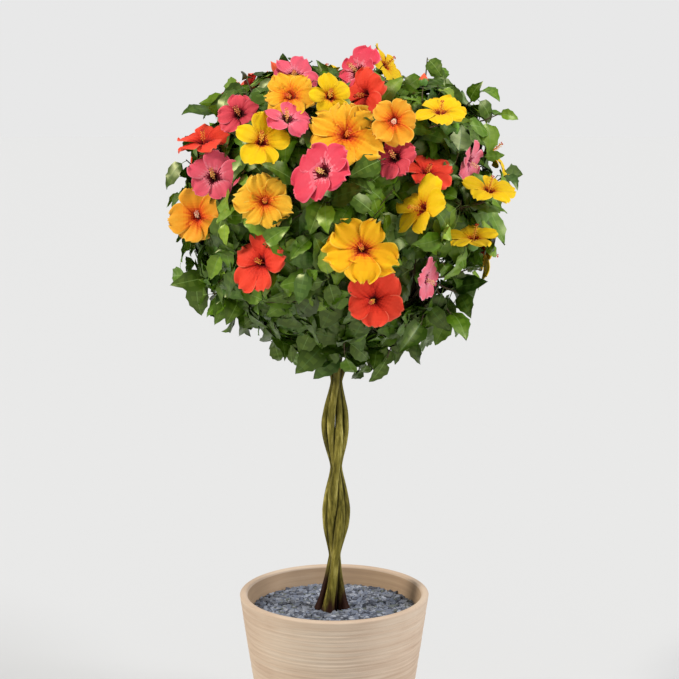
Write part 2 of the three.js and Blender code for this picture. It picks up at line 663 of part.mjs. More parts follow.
let leafCount = 0;
for (const mass of masses) {
  const root = mass.entry.clone().addScaledVector(mass.normal, clearance);
  const hub = headPoint(mass.dir, innerShell + massStem.length);
  const parts = [twigSolid(root, hub, massStem.baseRadius, massStem.tipRadius)];
  const shoots = planShoots(mass);
  const leaves = [];
  for (const shoot of shoots) parts.push(shoot.wood, ...(shoot.solid ? [shoot.solid] : []));
  for (let k = leaf.perTwig - 1; k >= 0; k -= 1) {
    for (const shoot of shoots) {
      const blade = seatLeaf(mass, shoot, k, [...parts.slice(1), ...leaves]);
      if (blade) leaves.push(blade);
    }
  }
  leafCount += leaves.length;
  const whole = [...parts, ...leaves].reduce((sum, part) => sum.add(part));
  addPiece(`mass_${mass.name}`, largest(whole), foliage);
  const dropped = whole.decompose().length - 1;
  if (dropped) console.log(`mass_${mass.name}: ${dropped} loose scraps dropped`);
}
console.log(`${leafCount} leaves, ${blooms.length} blooms`);

addPiece('pot', makePot(), clay);
addPiece('soil', filling(pot.floor + clearance, ground - chippingsDepth - clearance), compost);
addPiece('chippings', filling(ground - chippingsDepth, ground), slate);

export default hibiscus;
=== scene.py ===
import math
from itertools import product

import bmesh
import bpy
import numpy as np
from mathutils import Matrix, Vector, noise


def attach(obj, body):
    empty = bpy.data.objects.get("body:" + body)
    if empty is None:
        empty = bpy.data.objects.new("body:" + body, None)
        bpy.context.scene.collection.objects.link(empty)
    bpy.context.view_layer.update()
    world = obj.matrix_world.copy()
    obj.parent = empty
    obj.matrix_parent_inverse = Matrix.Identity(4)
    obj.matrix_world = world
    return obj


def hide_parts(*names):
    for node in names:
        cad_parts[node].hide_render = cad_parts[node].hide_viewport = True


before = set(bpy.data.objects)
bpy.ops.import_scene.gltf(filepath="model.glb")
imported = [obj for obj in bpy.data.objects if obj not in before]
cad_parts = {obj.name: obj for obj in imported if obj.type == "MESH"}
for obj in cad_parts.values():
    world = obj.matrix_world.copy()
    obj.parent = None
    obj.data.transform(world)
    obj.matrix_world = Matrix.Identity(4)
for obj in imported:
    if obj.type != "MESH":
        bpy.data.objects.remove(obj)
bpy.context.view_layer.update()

mm = 0.001
fullTurn = 2 * math.pi
anyPhase = 6.28  # waves start anywhere within this
goldenAngle = math.pi * (3 - math.sqrt(5))
upward = Vector((0, 0, 1))
sewn = 1e-6  # corners nearer than this are made one


# The same number from 0 to 1 for the same two seeds, as in the part's source
def chance(a, b):
    s = math.sin(a * 127.1 + b * 311.7 + 17.3) * 43758.5453
    return s - math.floor(s)


def ease(low, high, value):
    t = min(1.0, max(0.0, (value - low) / (high - low)))
    return t * t * (3 - 2 * t)


def between(low, high, share):
    return low + (high - low) * share


def around(radius, turn, height=0.0):  # a point at a turn, in radians, round the upright axis
    return Vector((radius * math.cos(turn), radius * math.sin(turn), height))


def direction(turn, rise):  # in degrees: no turn looks to the front, a turn of 90 to the right
    t, r = math.radians(turn), math.radians(rise)
    return Vector((math.cos(r) * math.sin(t), -math.cos(r) * math.cos(t), math.sin(r)))


def standingOn(way):  # turns a shape from upright to a direction
    return way.to_track_quat("Z", "Y").to_matrix().to_4x4()


def bezier(a, b, c, d, t):
    s = 1 - t
    return a * s ** 3 + b * 3 * s * s * t + c * 3 * s * t * t + d * t ** 3


def linear(code):  # sRGB hex to the linear colour a shader wants
    channels = [int(code[k:k + 2], 16) / 255 for k in (0, 2, 4)]
    return [c / 12.92 if c <= 0.04045 else ((c + 0.055) / 1.055) ** 2.4 for c in channels] + [1.0]


def blendHex(first, second, share):  # an sRGB hex between two others
    pairs = [int(first[k:k + 2], 16) * (1 - share) + int(second[k:k + 2], 16) * share for k in (0, 2, 4)]
    return "%02x%02x%02x" % tuple(round(pair) for pair in pairs)


def addNode(tree, kind, links=None, inputs=None, **settings):
    node = tree.nodes.new(kind)
    for name, value in settings.items():
        setattr(node, name, value)
    for name, value in (inputs or {}).items():
        node.inputs[name].default_value = value
    for name, source in (links or {}).items():
        tree.links.new(source, node.inputs[name])
    return node


def newFinish(name, colour, inputs):
    finish = bpy.data.materials.new(name)
    finish.use_nodes = True
    shader = finish.node_tree.nodes["Principled BSDF"]
    shader.inputs["Base Color"].default_value = linear(colour)
    for socket, value in inputs.items():
        shader.inputs[socket].default_value = value
    return finish


# Ends a patterned finish: the pattern picks a tone, attributes of the mesh lay other colours over it,
# and the height gives the surface its relief, with a depth in metres
def dressFinish(finish, pattern, stops, height, strength, depth, covers=()):
    tree = finish.node_tree
    shader = tree.nodes["Principled BSDF"]
    tone = addNode(tree, "ShaderNodeValToRGB", {"Fac": pattern})
    ramp = tone.color_ramp
    while len(ramp.elements) < len(stops):
        ramp.elements.new(0.5)
    for element, (place, colour) in zip(ramp.elements, stops):
        element.position = place
        element.color = linear(colour)
    shown = tone.outputs["Color"]
    for attribute, colour in covers:
        amount = addNode(tree, "ShaderNodeAttribute", attribute_name=attribute)
        cover = addNode(tree, "ShaderNodeMix", {"Factor": amount.outputs["Fac"], "A": shown},
                        {"B": linear(colour)}, data_type="RGBA")
        shown = cover.outputs["Result"]
    tree.links.new(shown, shader.inputs["Base Color"])
    relief = addNode(tree, "ShaderNodeBump", {"Height": height}, {"Strength": strength, "Distance": depth})
    tree.links.new(relief.outputs["Normal"], shader.inputs["Normal"])


def putInScene(name, data):
    thing = bpy.data.objects.new(name, data)
    bpy.context.scene.collection.objects.link(thing)
    return thing


# A piece keeps its place in its mesh: the object stays at the origin
def keepPiece(name, mesh, finishes, stoodFor=()):
    for finish in finishes:
        mesh.materials.append(finish)
    piece = putInScene(name, mesh)
    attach(piece, "root")
    if stoodFor:
        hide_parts(*stoodFor)
    mesh.calc_loop_triangles()
    print(f"{name}: {len(mesh.loop_triangles)} triangles")


def meshFrom(bm, name, smooth=True):
    for face in bm.faces:
        face.smooth = smooth
    mesh = bpy.data.meshes.new(name)
    bm.to_mesh(mesh)
    bm.free()
    return mesh


# A grid of faces whose corners are moved where place(across, along) says, both running from 0 to 1
def shapeSheet(bm, columns, rows, place, slotOf):
    corners = bmesh.ops.create_grid(bm, x_segments=columns, y_segments=rows, size=0.5)["verts"]
    for face in {f for v in corners for f in v.link_faces}:
        middle = face.calc_center_median()
        face.material_index = slotOf(middle.x + 0.5, middle.y + 0.5)
    for v in corners:
        v.co = place(v.co.x + 0.5, v.co.y + 0.5)
    return corners


# Points of a path, each with two side directions that turn as little as possible
def framesAlong(points):
    frames = []
    side = None
    for i, p in enumerate(points):
        along = (points[min(i + 1, len(points) - 1)] - points[max(i - 1, 0)]).normalized()
        if side is None:
            side = along.orthogonal().normalized()
        side = (side - along * side.dot(along)).normalized()
        frames.append((p, side, along.cross(side)))
    return frames


# A closed tube along a path: a grid wrapped round it, sewn up and capped
def shapeTube(bm, points, radiusAt, sides, slot=0):
    frames = framesAlong(points)
    rows = len(points) - 1

    def place(across, along):
        p, side, other = frames[round(along * rows)]
        turn = fullTurn * across
        return p + (side * math.cos(turn) + other * math.sin(turn)) * radiusAt(turn, along, p)

    corners = shapeSheet(bm, sides, rows, place, lambda across, along: slot)
    bmesh.ops.remove_doubles(bm, verts=corners, dist=sewn / 10)
    corners = [v for v in corners if v.is_valid]
    ends = list({e for v in corners for e in v.link_edges if e.is_boundary})
    for cap in bmesh.ops.holes_fill(bm, edges=ends, sides=0)["faces"]:
        cap.material_index = slot
    bmesh.ops.recalc_face_normals(bm, faces=list({f for v in corners for f in v.link_faces}))


# The points, faces and slots of a small shape, ready to be planted out many times
def takeShape(bm):
    bm.verts.index_update()
    shape = {
        "points": np.array([v.co for v in bm.verts]),
        "corners": np.array([v.index for f in bm.faces for v in f.verts]),
        "sizes": np.array([len(f.verts) for f in bm.faces]),
        "slots": np.array([f.material_index for f in bm.faces]),
    }
    bm.free()
    return shape


# One mesh of many shapes: each stamp is a shape, its place and the material numbers its slots take
def plantOut(name, stamps, smooth=True):
    points, corners, sizes, slots, base = [], [], [], [], 0
    for shape, place, tones in stamps:
        turn = np.array(place.to_3x3())
        points.append(shape["points"] @ turn.T + np.array(place.translation))
        corners.append(shape["corners"] + base)
        sizes.append(shape["sizes"])
        slots.append(np.array(tones)[shape["slots"]])
        base += len(shape["points"])
    points, corners, sizes = np.concatenate(points), np.concatenate(corners), np.concatenate(sizes)
    mesh = bpy.data.meshes.new(name)
    mesh.vertices.add(len(points))
    mesh.vertices.foreach_set("co", points.astype(np.float32).ravel())
    mesh.loops.add(len(corners))
    mesh.loops.foreach_set("vertex_index", corners.astype(np.int32))
    mesh.polygons.add(len(sizes))
    mesh.polygons.foreach_set("loop_start", (np.cumsum(sizes) - sizes).astype(np.int32))
    mesh.polygons.foreach_set("material_index", np.concatenate(slots).astype(np.int32))
    mesh.polygons.foreach_set("use_smooth", np.full(len(sizes), smooth))
    mesh.update(calc_edges=True)
    return mesh


# Camera at the viewpoint that the ellipse of the pot's rim gives
cameraSetup = {
    "place": (0.0105, -3.0, 1.3137), "pitchDown": 8.707, "lens": 81.72, "sensor": 36.0, "farEnd": 200,
}
cameraData = bpy.data.cameras.new("viewCamera")
cameraData.lens = cameraSetup["lens"]
cameraData.sensor_width = cameraSetup["sensor"]
cameraData.clip_end = cameraSetup["farEnd"]
camera = putInScene("viewCamera", cameraData)
camera.location = cameraSetup["place"]
camera.rotation_euler = (math.radians(90 - cameraSetup["pitchDown"]), 0, 0)
bpy.context.scene.camera = camera
bpy.context.scene.view_settings.view_transform = "Standard"

# Soft studio light: a warm key from the left, a broader and cooler fill from the right, a pale surround
lightSetup = {
    "keyLight": {"turn": -70, "rise": 37, "distance": 4, "power": 2.6, "softness": 14, "colour": "fff8ee"},
    "fillLight": {"turn": 72, "rise": 36, "distance": 4, "power": 2.6, "softness": 34, "colour": "fbfbff"},
}
surroundSetup = {"colour": "e8e8e8", "light": 0.5, "seen": 1.0}
for name, setup in lightSetup.items():
    lampData = bpy.data.lights.new(name, "SUN")
    lampData.energy = setup["power"]
    lampData.angle = math.radians(setup["softness"])
    lampData.color = linear(setup["colour"])[:3]
    lamp = putInScene(name, lampData)
    fromWhere = direction(setup["turn"], setup["rise"])
    lamp.rotation_euler = fromWhere.to_track_quat("Z", "Y").to_euler()
    lamp.location = fromWhere * setup["distance"]

world = bpy.data.worlds.new("paleSurround")
bpy.context.scene.world = world
world.use_nodes = True
tree = world.node_tree
tree.nodes.clear()
ray = addNode(tree, "ShaderNodeLightPath")
mixed = addNode(tree, "ShaderNodeMixShader", {"Fac": ray.outputs["Is Camera Ray"]})
for socket, use in ((1, "light"), (2, "seen")):
    glow = addNode(tree, "ShaderNodeBackground", inputs={
        "Color": linear(surroundSetup["colour"]), "Strength": surroundSetup[use]})
    tree.links.new(glow.outputs[0], mixed.inputs[socket])
addNode(tree, "ShaderNodeOutputWorld", {"Surface": mixed.outputs[0]})

# Pale matt floor, wide enough to meet the surround
floorSetup = {"radius": 60, "sides": 64, "colour": "cbcdce"}
bm = bmesh.new()
bmesh.ops.create_circle(bm, cap_ends=True, segments=floorSetup["sides"], radius=floorSetup["radius"])
floorMesh = meshFrom(bm, "paleFloor", smooth=False)
floorMesh.materials.append(newFinish("mattPaintedFloor", floorSetup["colour"],
                                     {"Roughness": 0.95, "Specular IOR Level": 0.1}))
floor = putInScene("paleFloor", floorMesh)
print("camera, light and floor are set")

# Pot: thrown sand-coloured clay, unglazed and fired, so it is matt with level throwing ribs and fine grain
potSize = {
    "height": 340, "rimRadius": 190.5, "footRadius": 139, "bulge": 0.1, "wall": 15.4, "floor": 18,
    "lip": 5, "footBevel": 4, "sides": 150, "rowHeight": 1.7, "innerTop": 320, "innerRowHeight": 20,
    "ribsFrom": 10, "ribsTo": 326, "ribSpacing": 8.6, "ribDepth": 1.0, "ribShallowest": 0.35,
    "ribUneven": 0.9, "ribCurve": 1.6, "ribEdge": 0.82, "fineDepth": 0.22, "fineWaves": 2.4,
    "skin": 4, "shakenFrom": 12, "shakenTo": 322, "wander": 1.6, "wanderScale": (1.7, 14),
    "dent": 0.9, "dentScale": (26, 90),
}
ground = 303  # top of the chippings


def potRadius(z):
    t = z / potSize["height"]
    spread = potSize["rimRadius"] - potSize["footRadius"]
    return potSize["footRadius"] + spread * (t + potSize["bulge"] * t * (1 - t))


# Throwing ribs: ridges of uneven depth, with a sharp lower edge, that fade out under the lip
def ribInset(z):
    count = (potSize["ribsTo"] - z) / potSize["ribSpacing"]
    if count < 0 or z < potSize["ribsFrom"]:
        return 0
    ridge, share = int(count), count % 1
    uneven = potSize["ribShallowest"] + potSize["ribUneven"] * chance(ridge, 71)
    depth = potSize["ribDepth"] * uneven * ease(0, 1.2, count)  # the first one is faint
    fine = potSize["fineDepth"] * math.sin(z * potSize["fineWaves"] + 3 * chance(ridge, 72))
    return depth * (share ** potSize["ribCurve"]) * (1 - ease(potSize["ribEdge"], 1.0, share)) + fine


def potProfile():
    top, lip, bevel, wall = potSize["height"], potSize["lip"], potSize["footBevel"], potSize["wall"]
    profile = [(0, 0), (potSize["footRadius"] - bevel, 0)]
    steps = round((top - lip - bevel) / potSize["rowHeight"])
    for i in range(steps + 1):
        z = bevel + (top - lip - bevel) * i / steps
        profile.append((potRadius(z) - ribInset(z), z))
    outer, inner = potSize["rimRadius"] - lip, potRadius(top) - wall + lip
    rounds = [(outer, degrees) for degrees in range(20, 91, 14)]
    rounds += [(inner, degrees) for degrees in range(90, 181, 15)]
    for middle, degrees in rounds:  # the lip's outer round, then its inner one
        edge = around(lip, math.radians(degrees))
        profile.append((middle + edge.x, top - lip + edge.y))
    for z in range(potSize["innerTop"], potSize["floor"], -potSize["innerRowHeight"]):
        profile.append((potRadius(z) - wall, z))
    return profile + [(potRadius(potSize["floor"]) - wall, potSize["floor"]), (0, potSize["floor"])]


def makePot():
    bm = bmesh.new()
    line = [bm.verts.new((0, -r * mm, z * mm)) for r, z in potProfile()]
    edges = [bm.edges.new(pair) for pair in zip(line, line[1:])]
    bmesh.ops.spin(bm, geom=line + edges, cent=(0, 0, 0), axis=(0, 0, 1), angle=fullTurn,
                   steps=potSize["sides"], use_merge=True)
    bmesh.ops.remove_doubles(bm, verts=bm.verts, dist=sewn)
    bmesh.ops.recalc_face_normals(bm, faces=bm.faces)
    for v in bm.verts:  # the ribs wander and dip a little, as a hand draws them
        x, y, z = v.co
        radius = math.hypot(x, y)
        outside = radius > potRadius(z / mm) * mm - potSize["skin"] * mm
        if not outside or not potSize["shakenFrom"] * mm < z < potSize["shakenTo"] * mm:
            continue
        across, along = potSize["wanderScale"]
        drift = noise.noise(around(across, math.atan2(y, x), z * along))
        v.co.z += drift * potSize["wander"] * mm
        across, along = potSize["dentScale"]
        dent = noise.noise(Vector((x * across, y * across, z * along)))
        push = 1 + min(0.0, dent * potSize["dent"] * mm) / radius
        v.co.x, v.co.y = x * push, y * push
    return meshFrom(bm, "ribbedPot")


def clayFinish(name, colour, stops):
    finish = newFinish(name, colour, {"Roughness": 0.88, "IOR": 1.5, "Specular IOR Level": 0.25})
    tree = finish.node_tree
    place = addNode(tree, "ShaderNodeTexCoord").outputs["Object"]
    stretched = addNode(tree, "ShaderNodeMapping", {"Vector": place}, {"Scale": (2.2, 2.2, 46)})
    bands = addNode(tree, "ShaderNodeTexNoise", {"Vector": stretched.outputs[0]},
                    {"Scale": 3.0, "Detail": 4.0, "Roughness": 0.55})  # throwing lines, about 7 mm apart
    clouds = addNode(tree, "ShaderNodeTexNoise", {"Vector": place},
                     {"Scale": 7.0, "Detail": 3.0})  # patches about 140 mm wide, from the firing
    mixed = addNode(tree, "ShaderNodeMix", {"A": bands.outputs["Fac"], "B": clouds.outputs["Fac"]},
                    {"Factor": 0.5})
    grain = addNode(tree, "ShaderNodeTexNoise", {"Vector": place},
                    {"Scale": 700.0, "Detail": 3.0})  # sand grain, drawn coarse at about 1.5 mm
    dressFinish(finish, mixed.outputs["Result"], stops, grain.outputs["Fac"], 0.25, 0.0006)
    return finish


potFinishes = [
    clayFinish("thrownSandClay", "c5b19c", [(0.34, "b59d87"), (0.5, "c3ae98"), (0.66, "cbbaa6")]),
    # the second clay is darker: painted shade for the pot's inner wall
    clayFinish("shadedInnerClay", "a88f74", [(0.34, "9b836b"), (0.5, "a88f74"), (0.66, "b39b81")]),
]
potMesh = makePot()
for face in potMesh.polygons:  # the inner wall takes the darker clay, as painted shade inside the pot
    x, y, z = face.center / mm
    if math.hypot(x, y) < potRadius(z) - potSize["wall"] * 0.6 and z < potSize["height"] - potSize["lip"]:
        face.material_index = 1
keepPiece("ribbedPot", potMesh, potFinishes, ["pot"])


def compostFinish():  # peat compost: dull, crumbly and nearly black
    finish = newFinish("peatCompost", "2b2119", {"Roughness": 1.0, "IOR": 1.4, "Specular IOR Level": 0.1})
    tree = finish.node_tree
    place = addNode(tree, "ShaderNodeTexCoord").outputs["Object"]
    crumbs = addNode(tree, "ShaderNodeTexVoronoi", {"Vector": place}, {"Scale": 260.0})  # 4 mm crumbs
    depth = crumbs.outputs["Distance"]
    dressFinish(finish, depth, [(0.0, "3a2c20"), (0.6, "1c1510")], depth, 0.6, 0.002)
    return finish


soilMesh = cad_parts["soil"].data
soilMesh.materials.clear()
soilMesh.materials.append(compostFinish())

# Slate chippings: split and crushed, so they are flat flakes with sharp edges, in a few blue-greys
chipSize = {
    "count": 2700, "shapes": 8, "cuts": 5, "length": 12.5, "width": 9, "thickness": 4.5,
    "smallest": 0.55, "largest": 1.3, "tiltMost": 34, "sunk": 1.5, "lift": 5.12, "jitter": 3.0,
    "edgeGap": 3.5, "dip": 2.2, "dipWidth": 26, "bareRadius": 12.6, "bedDrop": 5, "bedGap": 1.2,
    "bedThickness": 16, "bedTaper": 0.97, "bedSides": 64,
}
chipFinishes = [newFinish("splitSlate" + tone, colour, {"Roughness": 0.75, "IOR": 1.5})
                for tone, colour in [("Blue", "666d7c"), ("Pale", "858b97"), ("Grey", "6e727a"),
                                     ("Dark", "444853"), ("Green", "5c625e"), ("Bright", "9a9fa9")]]
chipTones = [0, 0, 0, 1, 1, 2, 2, 2, 3, 3, 3, 4, 0, 0, 1, 5]  # most are blue, few green or bright
# the bed is real fines, but its near-black tone is painted shade between the flakes
chipFinishes.append(newFinish("slateFinesShadeBed", "2e3138", {"Roughness": 1.0}))


def makeChip(seed):
    bm = bmesh.new()
    bmesh.ops.create_cube(bm, size=1)
    for k in range(chipSize["cuts"]):  # each cut splits off a corner
        way = Vector((chance(seed, k) - 0.5, chance(seed, k + 20) - 0.5, chance(seed, k + 40) * 0.9 - 0.45))
        way.normalize()
        middle = way * (0.36 + 0.1 * chance(seed, k + 60))
        cut = bmesh.ops.bisect_plane(bm, geom=bm.verts[:] + bm.edges[:] + bm.faces[:], dist=1e-5,
                                     plane_co=middle, plane_no=way, clear_outer=True)
        rim = [e for e in cut["geom_cut"] if isinstance(e, bmesh.types.BMEdge)]
        bmesh.ops.holes_fill(bm, edges=rim, sides=0)
    bmesh.ops.recalc_face_normals(bm, faces=bm.faces)
    return takeShape(bm)


def makeChippings():
    shapes = [makeChip(300 + k) for k in range(chipSize["shapes"])]
    stamps = []
    bore = potRadius(ground) - potSize["wall"]
    edge = bore - chipSize["edgeGap"]
    for i in range(chipSize["count"]):
        radius = edge * math.sqrt((i + 0.5) / chipSize["count"])
        if radius < chipSize["bareRadius"]:  # the trunk stands here
            continue
        size = between(chipSize["smallest"], chipSize["largest"], chance(i, 81))
        height = ground - chipSize["sunk"] + chipSize["lift"] * (chance(i, 82) - 0.55)
        height -= chipSize["dip"] * ease(edge - chipSize["dipWidth"], edge, radius)
        tilt = Matrix.Rotation(math.radians(chipSize["tiltMost"]) * chance(i, 83), 4, around(1, 7 * i))
        spun = Matrix.Rotation(fullTurn * chance(i, 84), 4, "Z")
        scale = Matrix.Diagonal((chipSize["length"] * size * mm, chipSize["width"] * size * mm,
                                 chipSize["thickness"] * (0.7 + 0.8 * chance(i, 85)) * mm, 1))
        radius += chipSize["jitter"] * (chance(i, 86) - 0.5)
        place = Matrix.Translation(around(radius * mm, goldenAngle * i, height * mm))
        tone = chipTones[int(chance(i, 87) * len(chipTones))]
        stamps.append((shapes[i % len(shapes)], place @ tilt @ spun @ scale, [tone]))
    bm = bmesh.new()  # the bed of fines that closes the gaps between the flakes, near black as painted shade in the gaps
    bedRadius, thickness = (bore - chipSize["bedGap"]) * mm, chipSize["bedThickness"] * mm
    bmesh.ops.create_cone(bm, cap_ends=True, segments=chipSize["bedSides"], depth=thickness,
                          radius1=bedRadius * chipSize["bedTaper"], radius2=bedRadius)
    middle = (ground - chipSize["bedDrop"]) * mm - thickness / 2
    stamps.append((takeShape(bm), Matrix.Translation((0, 0, middle)), [len(chipFinishes) - 1]))
    return plantOut("slateChippings", stamps, smooth=False)


keepPiece("slateChippings", makeChippings(), chipFinishes, ["chippings"])

# Braided trunk: the same four paths as the solids, with heights from the chippings up
braid = {
    "footTurn": -35, "pinches": (108, 292, 466), "top": 545, "topTurn": 375,
    "innerRadius": 8.1, "innerAhead": 4, "outerGap": 6, "outerBow": 14.4, "outerBehind": 19.5,
    "lobeBehind": 5, "forward": 6, "footSpread": 0.75, "footBow": 10, "topSpread": 1.5, "topBow": 3.75,
    "topForward": 0.55, "bowPower": 1.4, "topPower": 1.2, "sunk": 12, "past": 3,
    "stemRadius": 7.9, "lobeSwell": 2.4, "outerStemRadius": 5.7, "lobeThicker": 1.9, "topRadius": 5.6,
    "flare": 4.4, "outerFlare": 7, "flareHeight": 26,
    "leanHeights": (0, 108, 201, 292, 382, 466, 545), "leanOffsets": (-5, 1, 4, 4, 1.5, 4.5, 9),
    "sides": 34, "steps": 170, "grooves": 0.12, "knots": 0.07, "rings": 0.02,
    "seamShade": (-1.5, 5.6), "streak": 26, "darkFork": (455, 540), "forkShade": 0.55, "forkStreak": 24,
}
stemPlan = {
    "stem_front": {"inner": 1, "side": 0, "turn": 0, "darkFoot": (2, 38)},
    "stem_right": {"inner": 0, "side": 1, "turn": 90, "darkFoot": (22, 84)},
    "stem_left": {"inner": 0, "side": -1, "turn": 270, "darkFoot": (46, 112)},
    "stem_back": {"inner": -1, "side": 0, "turn": 180, "darkFoot": (30, 90)},
}


def braidTurn(height):
    low, middle, high = braid["pinches"]
    turn = np.interp(height, (0, low, middle, high, braid["top"]),
                     (braid["footTurn"], 0, 180, 360, braid["topTurn"]))
    if height < 0:
        turn = braid["footTurn"] * (1 - height / low)
    angle = math.radians(turn)
    return angle, abs(math.sin(angle)) ** braid["bowPower"]


def stemPoint(plan, height):
    low, high = braid["pinches"][0], braid["pinches"][2]
    angle, bow = braidTurn(height)
    foot = max(0, (low - height) / low)
    crown = max(0, (height - high) / (braid["top"] - high))
    lobe = bow * (1 - crown)
    x = np.interp(height, braid["leanHeights"], braid["leanOffsets"])
    forward = -braid["forward"] * (1 - bow) * (1 - foot) * (1 - crown)
    if plan["inner"]:
        spread = 1 + braid["footSpread"] * foot * foot + braid["topSpread"] * crown
        radius = plan["inner"] * braid["innerRadius"] * spread
        y = forward - radius * math.cos(angle) - braid["innerAhead"] * lobe
        return Vector((x + radius * math.sin(angle), y, ground + height)) * mm
    across = braid["outerGap"] + braid["outerBow"] * bow + braid["footBow"] * foot
    across *= 1 + braid["topBow"] * crown ** braid["topPower"]
    tucked = (1 - bow) * (1 - foot) * (1 - braid["topForward"] * crown)
    behind = braid["outerBehind"] * tucked + braid["lobeBehind"] * lobe
    return Vector((x + plan["side"] * across, forward + behind, ground + height)) * mm


def stemRadius(plan, height):
    bow = braidTurn(height)[1]
    if plan["inner"]:
        own, flare = braid["stemRadius"] + braid["lobeSwell"] * bow, braid["flare"]
    else:
        own, flare = braid["outerStemRadius"] + braid["lobeThicker"] * bow, braid["outerFlare"]
    share = max(0, height) / braid["top"]
    flared = flare * math.exp(-max(0, height) / braid["flareHeight"])
    return (own + (braid["topRadius"] - own) * share * share + flared) * mm


def stemPath(plan):
    low, steps = -braid["sunk"], braid["steps"]
    return [stemPoint(plan, low + (braid["top"] + braid["past"] - low) * i / steps) for i in range(steps + 1)]


# Bark of the braid: smooth young hibiscus bark, olive over green, matt, with shade painted dark into the
# seams between stems and a dark old foot
def barkFinish():
    finish = newFinish("youngHibiscusBark", "6b6430",
                       {"Roughness": 0.6, "IOR": 1.45, "Specular IOR Level": 0.14})
    tree = finish.node_tree
    place = addNode(tree, "ShaderNodeTexCoord").outputs["Object"]
    stretched = addNode(tree, "ShaderNodeMapping", {"Vector": place}, {"Scale": (1, 1, 0.16)})
    fibres = addNode(tree, "ShaderNodeTexNoise", {"Vector": stretched.outputs[0]},
                     {"Scale": 260.0, "Detail": 6.0, "Roughness": 0.62})  # fibres about 4 mm wide
    patches = addNode(tree, "ShaderNodeTexNoise", {"Vector": stretched.outputs[0]},
                      {"Scale": 55.0, "Detail": 2.0})  # patches about 18 mm wide, 110 mm long
    blend = addNode(tree, "ShaderNodeMix", {"A": fibres.outputs["Fac"], "B": patches.outputs["Fac"]},
                    {"Factor": 0.55})
    # the seam cover is painted shade, darkest where the stems touch
    dressFinish(finish, blend.outputs["Result"],
                [(0.34, "2c280a"), (0.44, "524c18"), (0.55, "7d7430"), (0.68, "bcb062")],
                fibres.outputs["Fac"], 0.7, 0.0016, covers=(("oldFoot", "2a1409"), ("seamShade", "120f06")))
    return finish


# Radius with lengthwise grooves, low knots and faint rings
def barkRadius(seed, radius, turn, p):
    groove = noise.noise(around(1.9, turn, p.z * 9 + seed * 7))
    knot = noise.noise(around(1, turn, p.z * 38 + seed * 13))
    ring = noise.noise(around(0.4, turn, p.z * 260 + seed * 5))
    return radius * (1 + braid["grooves"] * groove + braid["knots"] * knot + braid["rings"] * ring)


# How deep each point lies in a seam between stems, which sets the shade painted there, and how dark and old
# its bark is at foot and fork
def shadeBark(mesh, plan):
    seamShades = mesh.attributes.new("seamShade", "FLOAT", "POINT")
    feet = mesh.attributes.new("oldFoot", "FLOAT", "POINT")
    others = [other for other in stemPlan.values() if other is not plan]
    near, far = braid["seamShade"]
    for v, seamShade, foot in zip(mesh.vertices, seamShades.data, feet.data):
        height = v.co.z / mm - ground
        gap = min((v.co - stemPoint(other, height)).length - stemRadius(other, height) for other in others)
        # painted shade: the bark goes dark as it nears another stem
        seamShade.value = 1 - ease(near * mm, far * mm, gap)
        streak = noise.noise(Vector((v.co.x * 90, v.co.y * 90, v.co.z * 14)))
        atFork = ease(*braid["darkFork"], height + braid["forkStreak"] * streak)
        foot.value = max(1 - ease(*plan["darkFoot"], height + braid["streak"] * streak),
                         braid["forkShade"] * atFork)


bark = barkFinish()
stemEnds = {}
for number, (name, plan) in enumerate(stemPlan.items()):
    bm = bmesh.new()
    path = stemPath(plan)
    shapeTube(bm, path, lambda turn, share, p: barkRadius(
        number, stemRadius(plan, p.z / mm - ground), turn, p), braid["sides"])
    mesh = meshFrom(bm, name)
    shadeBark(mesh, plan)
    keepPiece(name.replace("stem", "bark"), mesh, [bark], [name])
    stemEnds[name] = {"tip": path[-1], "along": (path[-1] - path[-3]).normalized(), "turn": plan["turn"]}

# Head of foliage: the source's masses, each with its own stem
head = {
    "centre": Vector((13, 0, 1112)) * mm, "reach": Vector((308, 300, 285)) * mm, "shoulder": 0.06,
    "innerShell": 0.4, "massStem": 0.34,
    # each ring's name, rise, how many masses it has and the turn of the first
    "rings": (("top", 90, 1, 0), ("upper", 42, 5, 20), ("middle", 2, 7, 0), ("lower", -38, 5, 0)),
}


def swell(way):
    return 1 + head["shoulder"] * 4 * way.z ** 2 * (1 - way.z ** 2) if way.z > 0 else 1


def headPoint(way, share):
    return head["centre"] + way * head["reach"] * (share * swell(way))


def overReach(step):  # a step as shares of the head's reach
    return Vector([a / b for a, b in zip(step, head["reach"])])


def headShare(point):
    scaled = overReach(point - head["centre"])
    return scaled.length / swell(scaled.normalized())


def headNormal(way):
    return overReach(way).normalized()


def spreadDirection(i, n):
    z = 1 - (2 * i + 1) / n
    ring = math.sqrt(1 - z * z)
    return Vector((ring * math.sin(goldenAngle * i), -ring * math.cos(goldenAngle * i), z))


masses = []
for ringName, ringRise, ringCount, ringTurn in head["rings"]:
    for i in range(ringCount):
        massTurn = ringTurn + 360 / ringCount * i
        way = direction(massTurn, ringRise)
        masses.append({
            "name": f"{ringName}_{i + 1}" if ringCount > 1 else ringName, "ring": ringName, "way": way,
            "turn": massTurn, "rise": ringRise, "normal": headNormal(way),
            "entry": headPoint(way, head["innerShell"]),
        })


def nearestMass(way):
    return max(masses, key=lambda mass: mass["way"].dot(way))


# Boughs: each stem carries a leader to its highest mass, and side boughs leave the leader in turn
boughSize = {
    "base": 5.2, "tip": 3.6, "sides": 12, "steps": 22, "spacing": 0.15, "firstFork": 0.06, "sunk": 4,
    "sideThick": 0.86, "lean": 0.38, "lowLean": 0.3, "keepsOn": 0.5,
}


def stemOf(mass):
    if mass["ring"] == "top":
        return "stem_front"
    return min(stemEnds, key=lambda name: abs((mass["turn"] - stemEnds[name]["turn"] + 540) % 360 - 180))


